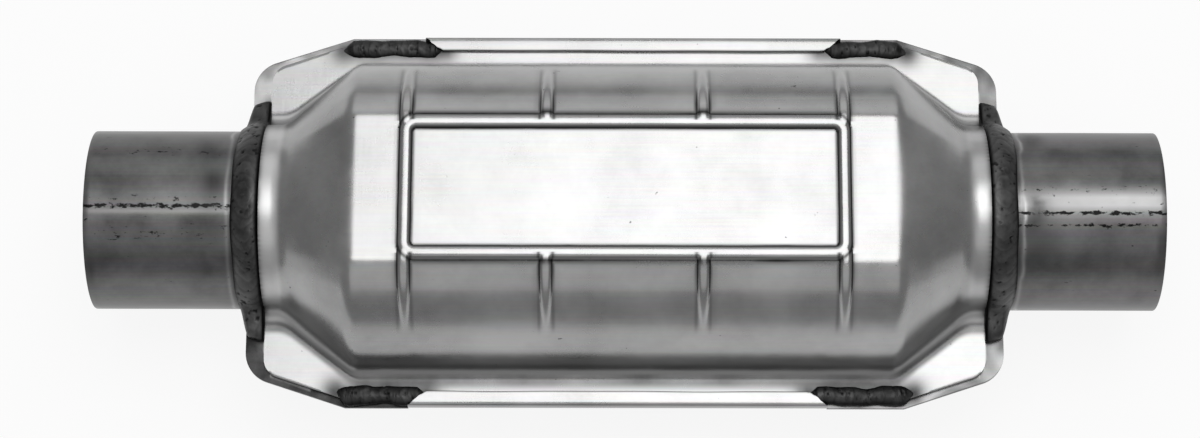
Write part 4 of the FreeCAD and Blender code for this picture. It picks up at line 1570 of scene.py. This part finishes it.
@dataclass
class HoneycombBrick:
    """Coated ceramic brick: a skinned oval block with open cells in its outer face."""

    end: End
    form: Form = FORM
    inset: float = 6.0
    inner_x: float = 6.0
    outer_x: float = 81.0
    pitch: float = 1.27
    wall: float = 0.24
    depth: float = 5.0
    skin: float = 1.6
    skin_overlap: float = 1.0
    cell_setback: float = 0.05
    edge_break: float = 0.3
    grid: tuple[float, float] = (86.0, 70.0)
    half_face: tuple[float, float] = (41.3, 33.9)

    def outline(self, inset: float) -> np.ndarray:
        """Oval (y, z) outline, anticlockwise seen from +X."""
        body = self.form.body
        crown = body.crown(inset, np.linspace(0, 1, 8))
        shoulder = body.shoulder(inset, np.linspace(0, 1, 24)[1:])
        foot = shoulder[-1]
        slope = math.tan(math.radians(body.draft))
        seam = np.array([[foot[0] + foot[1] * slope, 0.0]])
        quarter = np.concatenate([crown, shoulder, seam])[::-1]
        upper = np.concatenate([quarter, quarter[::-1][1:] * (-1, 1)])
        return np.concatenate([upper, upper[::-1][1:-1] * (1, -1)])

    def cells(self, tree: bpy.types.NodeTree,
              material: bpy.types.Material) -> tuple[np.ndarray, Faces]:
        """Points and faces of the open cells, standing in the brick's outer face.

        Args:
            tree: The tree that makes them, lying flat.
            material: Their finish.

        Returns:
            The points in millimetres, as at the outlet's end, and the faces.
        """
        holder = bpy.data.objects.new("cell_seed", bpy.data.meshes.new("cell_seed"))
        bpy.context.scene.collection.objects.link(holder)
        run_tree(holder, tree, {
            "Pitch": self.pitch * MM, "Wall": self.wall * MM, "Depth": self.depth * MM,
            "Half Width": self.half_face[0] * MM, "Half Height": self.half_face[1] * MM,
            "Columns": int(self.grid[0] / self.pitch), "Rows": int(self.grid[1] / self.pitch),
            "Material": material})
        across, up, out = np.array([corner.co for corner in holder.data.vertices]).T / MM
        faces = [tuple(face.vertices) for face in holder.data.polygons]
        bpy.data.objects.remove(holder)
        return np.column_stack([self.outer_x - self.cell_setback + out, across, up]), faces

    def make(self, tree: bpy.types.NodeTree, material: bpy.types.Material) -> bpy.types.Object:
        """Build the brick."""
        flip = self.end is End.INLET
        sign = np.array([self.end.value, 1, 1])
        points, faces = self.cells(tree, material)
        parts = MeshParts()
        parts.add(points * sign, faces, flip)
        # the skin, folded over the rim and down inside it to past the cells' floors
        outer, inner = self.outline(self.inset), self.outline(self.inset + self.skin)
        loops = [(self.inner_x, outer), (self.outer_x - self.edge_break, outer),
                 (self.outer_x, self.outline(self.inset + self.edge_break)),
                 (self.outer_x, inner), (self.outer_x - self.depth - self.skin_overlap, inner)]
        rings = np.concatenate([np.column_stack([np.full(len(o), x), o]) for x, o in loops])
        parts.add(rings * sign, tube_faces(len(loops), len(outer)), flip)
        return parts.make(f"{self.end.node('monolith')}_honeycomb", material)


# ---- Studio ----------------------------------------------------------------------------
@dataclass(frozen=True)
class Softbox:
    """One soft lamp: where it hangs, its size, its power and where it points, in metres."""

    name: str
    place: tuple[float, float, float]
    size: tuple[float, float]
    watts: float
    target: tuple[float, float, float] = (0.0, 0.0, 0.0)

    def hang(self) -> None:
        """Add the lamp."""
        data = bpy.data.lights.new(self.name, "AREA")
        data.shape = "RECTANGLE"
        data.size, data.size_y = self.size
        data.energy = self.watts
        lamp = bpy.data.objects.new(self.name, data)
        lamp.location = self.place
        aim = Vector(self.target) - Vector(self.place)
        lamp.rotation_euler = aim.to_track_quat("-Z", "Y").to_euler()
        bpy.context.scene.collection.objects.link(lamp)


@dataclass
class Studio:
    """Pale floor, soft lamps, grey surroundings and the camera."""

    lamps: tuple[Softbox, ...] = (
        Softbox("overhead_box", (0.08, 0.19, 1.15), (0.78, 0.86), 6.3),
        Softbox("back_box", (0.0, 1.4, 0.9), (1.8, 0.8), 3.4),
        Softbox("front_box", (0.0, -0.8, 1.1), (1.6, 0.74), 1.75),
    )
    surround: str = "#a4a4a4"
    surround_strength: float = 1.0
    paper: tuple[float, float, float, float] = (0.93, 0.93, 0.93, 1)
    floor_white: float = 0.88
    floor_half: float = 3.0
    camera_x: float = 0.00225
    distance: float = 1.020
    elevation: float = 75.0
    roll: float = 0.11
    lens: float = 95.2
    shift: tuple[float, float] = (-0.0267, 0.0017)

    def floor(self, level: float) -> None:
        """Lay the floor, which stays white to the eye and keeps the object's shadow."""
        mesh = bpy.data.meshes.new("floor")
        size = self.floor_half
        mesh.from_pydata([(-size, -size, level), (size, -size, level), (size, size, level),
                          (-size, size, level)], [], [(0, 1, 2, 3)])
        floor = bpy.data.objects.new("floor", mesh)
        bpy.context.scene.collection.objects.link(floor)
        material = bpy.data.materials.new("white_paper_sweep")
        material.use_nodes = True
        tree = material.node_tree
        tree.nodes.clear()
        paths = add_node(tree, "ShaderNodeLightPath").outputs
        seen = add_node(tree, "ShaderNodeMath", {
            0: paths["Is Camera Ray"], 1: paths["Is Glossy Ray"]}, operation="MAXIMUM")
        shown = add_node(tree, "ShaderNodeMath", {
            0: seen, 1: paths["Is Transmission Ray"]}, operation="MAXIMUM")
        share = add_node(tree, "ShaderNodeMath", {
            0: shown, 1: self.floor_white}, operation="MULTIPLY")
        paper = add_node(tree, "ShaderNodeBsdfDiffuse", {"Color": self.paper})
        glow = add_node(tree, "ShaderNodeEmission", {"Color": (1, 1, 1, 1), "Strength": 1.0})
        both = add_node(tree, "ShaderNodeMixShader", {0: share, 1: paper, 2: glow})
        add_node(tree, "ShaderNodeOutputMaterial", {"Surface": both})
        mesh.materials.append(material)

    def world(self) -> None:
        """Set the grey surroundings."""
        world = bpy.data.worlds.new("studio")
        bpy.context.scene.world = world
        world.use_nodes = True
        back = world.node_tree.nodes["Background"]
        back.inputs["Color"].default_value = linear(self.surround)
        back.inputs["Strength"].default_value = self.surround_strength

    def camera(self) -> None:
        """Place the camera, steeply above the front."""
        data = bpy.data.cameras.new("camera")
        data.lens = self.lens
        data.sensor_width = 36.0
        data.shift_x, data.shift_y = self.shift
        data.clip_start, data.clip_end = 0.05, 20.0
        camera = bpy.data.objects.new("camera", data)
        lift = math.radians(self.elevation)
        camera.location = (self.camera_x, -self.distance * math.cos(lift),
                           self.distance * math.sin(lift))
        turn = Matrix.Rotation(math.radians(90) - lift, 4, "X")
        camera.matrix_world = (Matrix.Translation(camera.location) @ turn
                               @ Matrix.Rotation(math.radians(self.roll), 4, "Z"))
        bpy.context.scene.collection.objects.link(camera)
        bpy.context.scene.camera = camera

    def build(self, level: float) -> None:
        """Build the whole studio."""
        self.floor(level)
        self.world()
        self.camera()
        for lamp in self.lamps:
            lamp.hang()


# ---- The converter ---------------------------------------------------------------------
@dataclass
class Converter:
    """The whole converter: shells, pipes, welds and what is inside."""

    form: Form = FORM
    hem_setbacks: dict[tuple[End, Side], float] = field(default_factory=lambda: {
        (End.INLET, Side.REAR): 20.5,
        (End.INLET, Side.FRONT): 17.0,
        (End.OUTLET, Side.REAR): 15.5,
        (End.OUTLET, Side.FRONT): 21.5,
    })
    neck_weld_x: float = 115.0
    neck_weld_radius: float = 31.0
    neck_scorch: float = 1.5
    corner_scorch: float = 4.4

    def hem_x(self, end: End, side: Side) -> float:
        """Distance of a hem's end from mid-length."""
        return self.form.fold_x - self.hem_setbacks[end, side]

    def corner_beads(self) -> list[CornerBead]:
        """The four corner beads."""
        knobs = {(End.INLET, Side.REAR): 1.05, (End.INLET, Side.FRONT): 1.12,
                 (End.OUTLET, Side.REAR): 1.05, (End.OUTLET, Side.FRONT): 1.15}
        return [CornerBead(end, side, self.hem_x(end, side), 3 + 2 * index, knob)
                for index, ((end, side), knob) in enumerate(knobs.items())]

    def weld_lines(self) -> list[tuple[np.ndarray, float]]:
        """Lines that welding heat spreads from on the shells, and how far it reaches."""
        angle = np.linspace(0, 2 * math.pi, 120, endpoint=False)
        ring = self.neck_weld_radius * np.stack([np.sin(angle), np.cos(angle)], 1)
        lines = [(np.column_stack([np.full_like(angle, self.neck_weld_x * end.value), ring]),
                  self.neck_scorch) for end in End]
        lines += [(bead.line()[::4] * (bead.end.value, bead.side.value, 1), self.corner_scorch)
                  for bead in self.corner_beads()]
        return lines

    def shells(self) -> None:
        """Make both half shells, the lower one with its hems."""
        sheet, form, lines = StampedStainless().make(), self.form, self.weld_lines()
        spans = {side: (-self.hem_x(End.INLET, side), self.hem_x(End.OUTLET, side))
                 for side in Side}
        hems = MeshParts()
        for index, (side, (low, high)) in enumerate(spans.items()):
            Hem(side, low, high, 5 + index).make(hems)
        upper = HalfShell("upper_half_shell", "upper_shell", turned=1,
                          straight_edge=form.lower_edge - form.hem_radius,
                          end_x=form.collar_end, corner_radius=UPPER_CORNER,
                          hem_range={}, weld_lines=lines, seed=11)
        lower = HalfShell("lower_half_shell", "lower_shell", turned=-1,
                          straight_edge=form.lower_edge,
                          end_x=form.ear_end, corner_radius=LOWER_CORNER,
                          hem_range=spans, weld_lines=lines, seed=12)
        for shell, extra in ((upper, None), (lower, hems)):
            settle(shell.make(sheet, extra), [shell.node])

    def pipes(self) -> None:
        """Make both pipe stubs."""
        tube = SeamWeldedTube().make()
        inlet = PipeStub(End.INLET, seam_degrees=-8.6, seam_and_highlight_strength=0.35, seam_and_highlight_width=1.6, seed=1,
                         pit_rows=((-5.8, 1.1, 1.0), (-1.0, 1.2, 0.45), (-24.0, 3.0, 0.4),
                                   (34.0, 3.0, 0.4)))
        # the outlet's wide, bright stripe is a painted highlight along the tube's top
        outlet = PipeStub(End.OUTLET, seam_degrees=-2.0, seam_and_highlight_strength=0.85, seam_and_highlight_width=6.0, seed=2,
                          pit_rows=((-9.5, 0.9, 0.95), (-17.0, 0.8, 0.8), (6.0, 2.0, 0.4)))
        for stub in (inlet, outlet):
            settle(stub.make(tube), [stub.end.node("pipe")])

    def welds(self) -> None:
        """Make the neck and corner beads."""
        metal = MigBead().make()
        tree = RippleTree().build()
        for end, seed in ((End.INLET, 2), (End.OUTLET, 5)):
            bead = NeckBead(end, seed, lump_reach={Side.FRONT: 9.4, Side.REAR: 8.8},
                            lump_angle={Side.FRONT: 2.0, Side.REAR: 1.0})
            settle(bead.make(tree, metal), [end.node("neck_weld")])
        for bead in self.corner_beads():
            settle(bead.make(tree, metal), [bead.node()])

    def insides(self) -> None:
        """Make the bricks, and finish the mats, seals and retainers in place."""
        ceramic = CERAMIC.make()
        tree = CellTree().build()
        for end in End:
            settle(HoneycombBrick(end).make(tree, ceramic), [end.node("monolith")])
        fibre, wire, sheet = FIBRE.make(), MESH.make(), bpy.data.materials[StampedStainless.name]
        for node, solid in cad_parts.items():
            chosen = {"mat": fibre, "seal": wire, "retainer": sheet}.get(node.split("_")[-1])
            if chosen is not None:
                solid.data.materials.clear()
                solid.data.materials.append(chosen)
                LOG.info("%s: finished as %s", node, chosen.name)

    def build(self) -> None:
        """Build every piece."""
        self.shells()
        self.pipes()
        self.welds()
        self.insides()


def main() -> None:
    """Build the converter and the studio."""
    logging.basicConfig(level=logging.INFO, format="%(name)s: %(message)s")
    bpy.context.scene.view_settings.view_transform = "Standard"
    Converter().build()
    Studio().build(CAD_BOX[0].z)


if __name__ == "__main__":
    main()
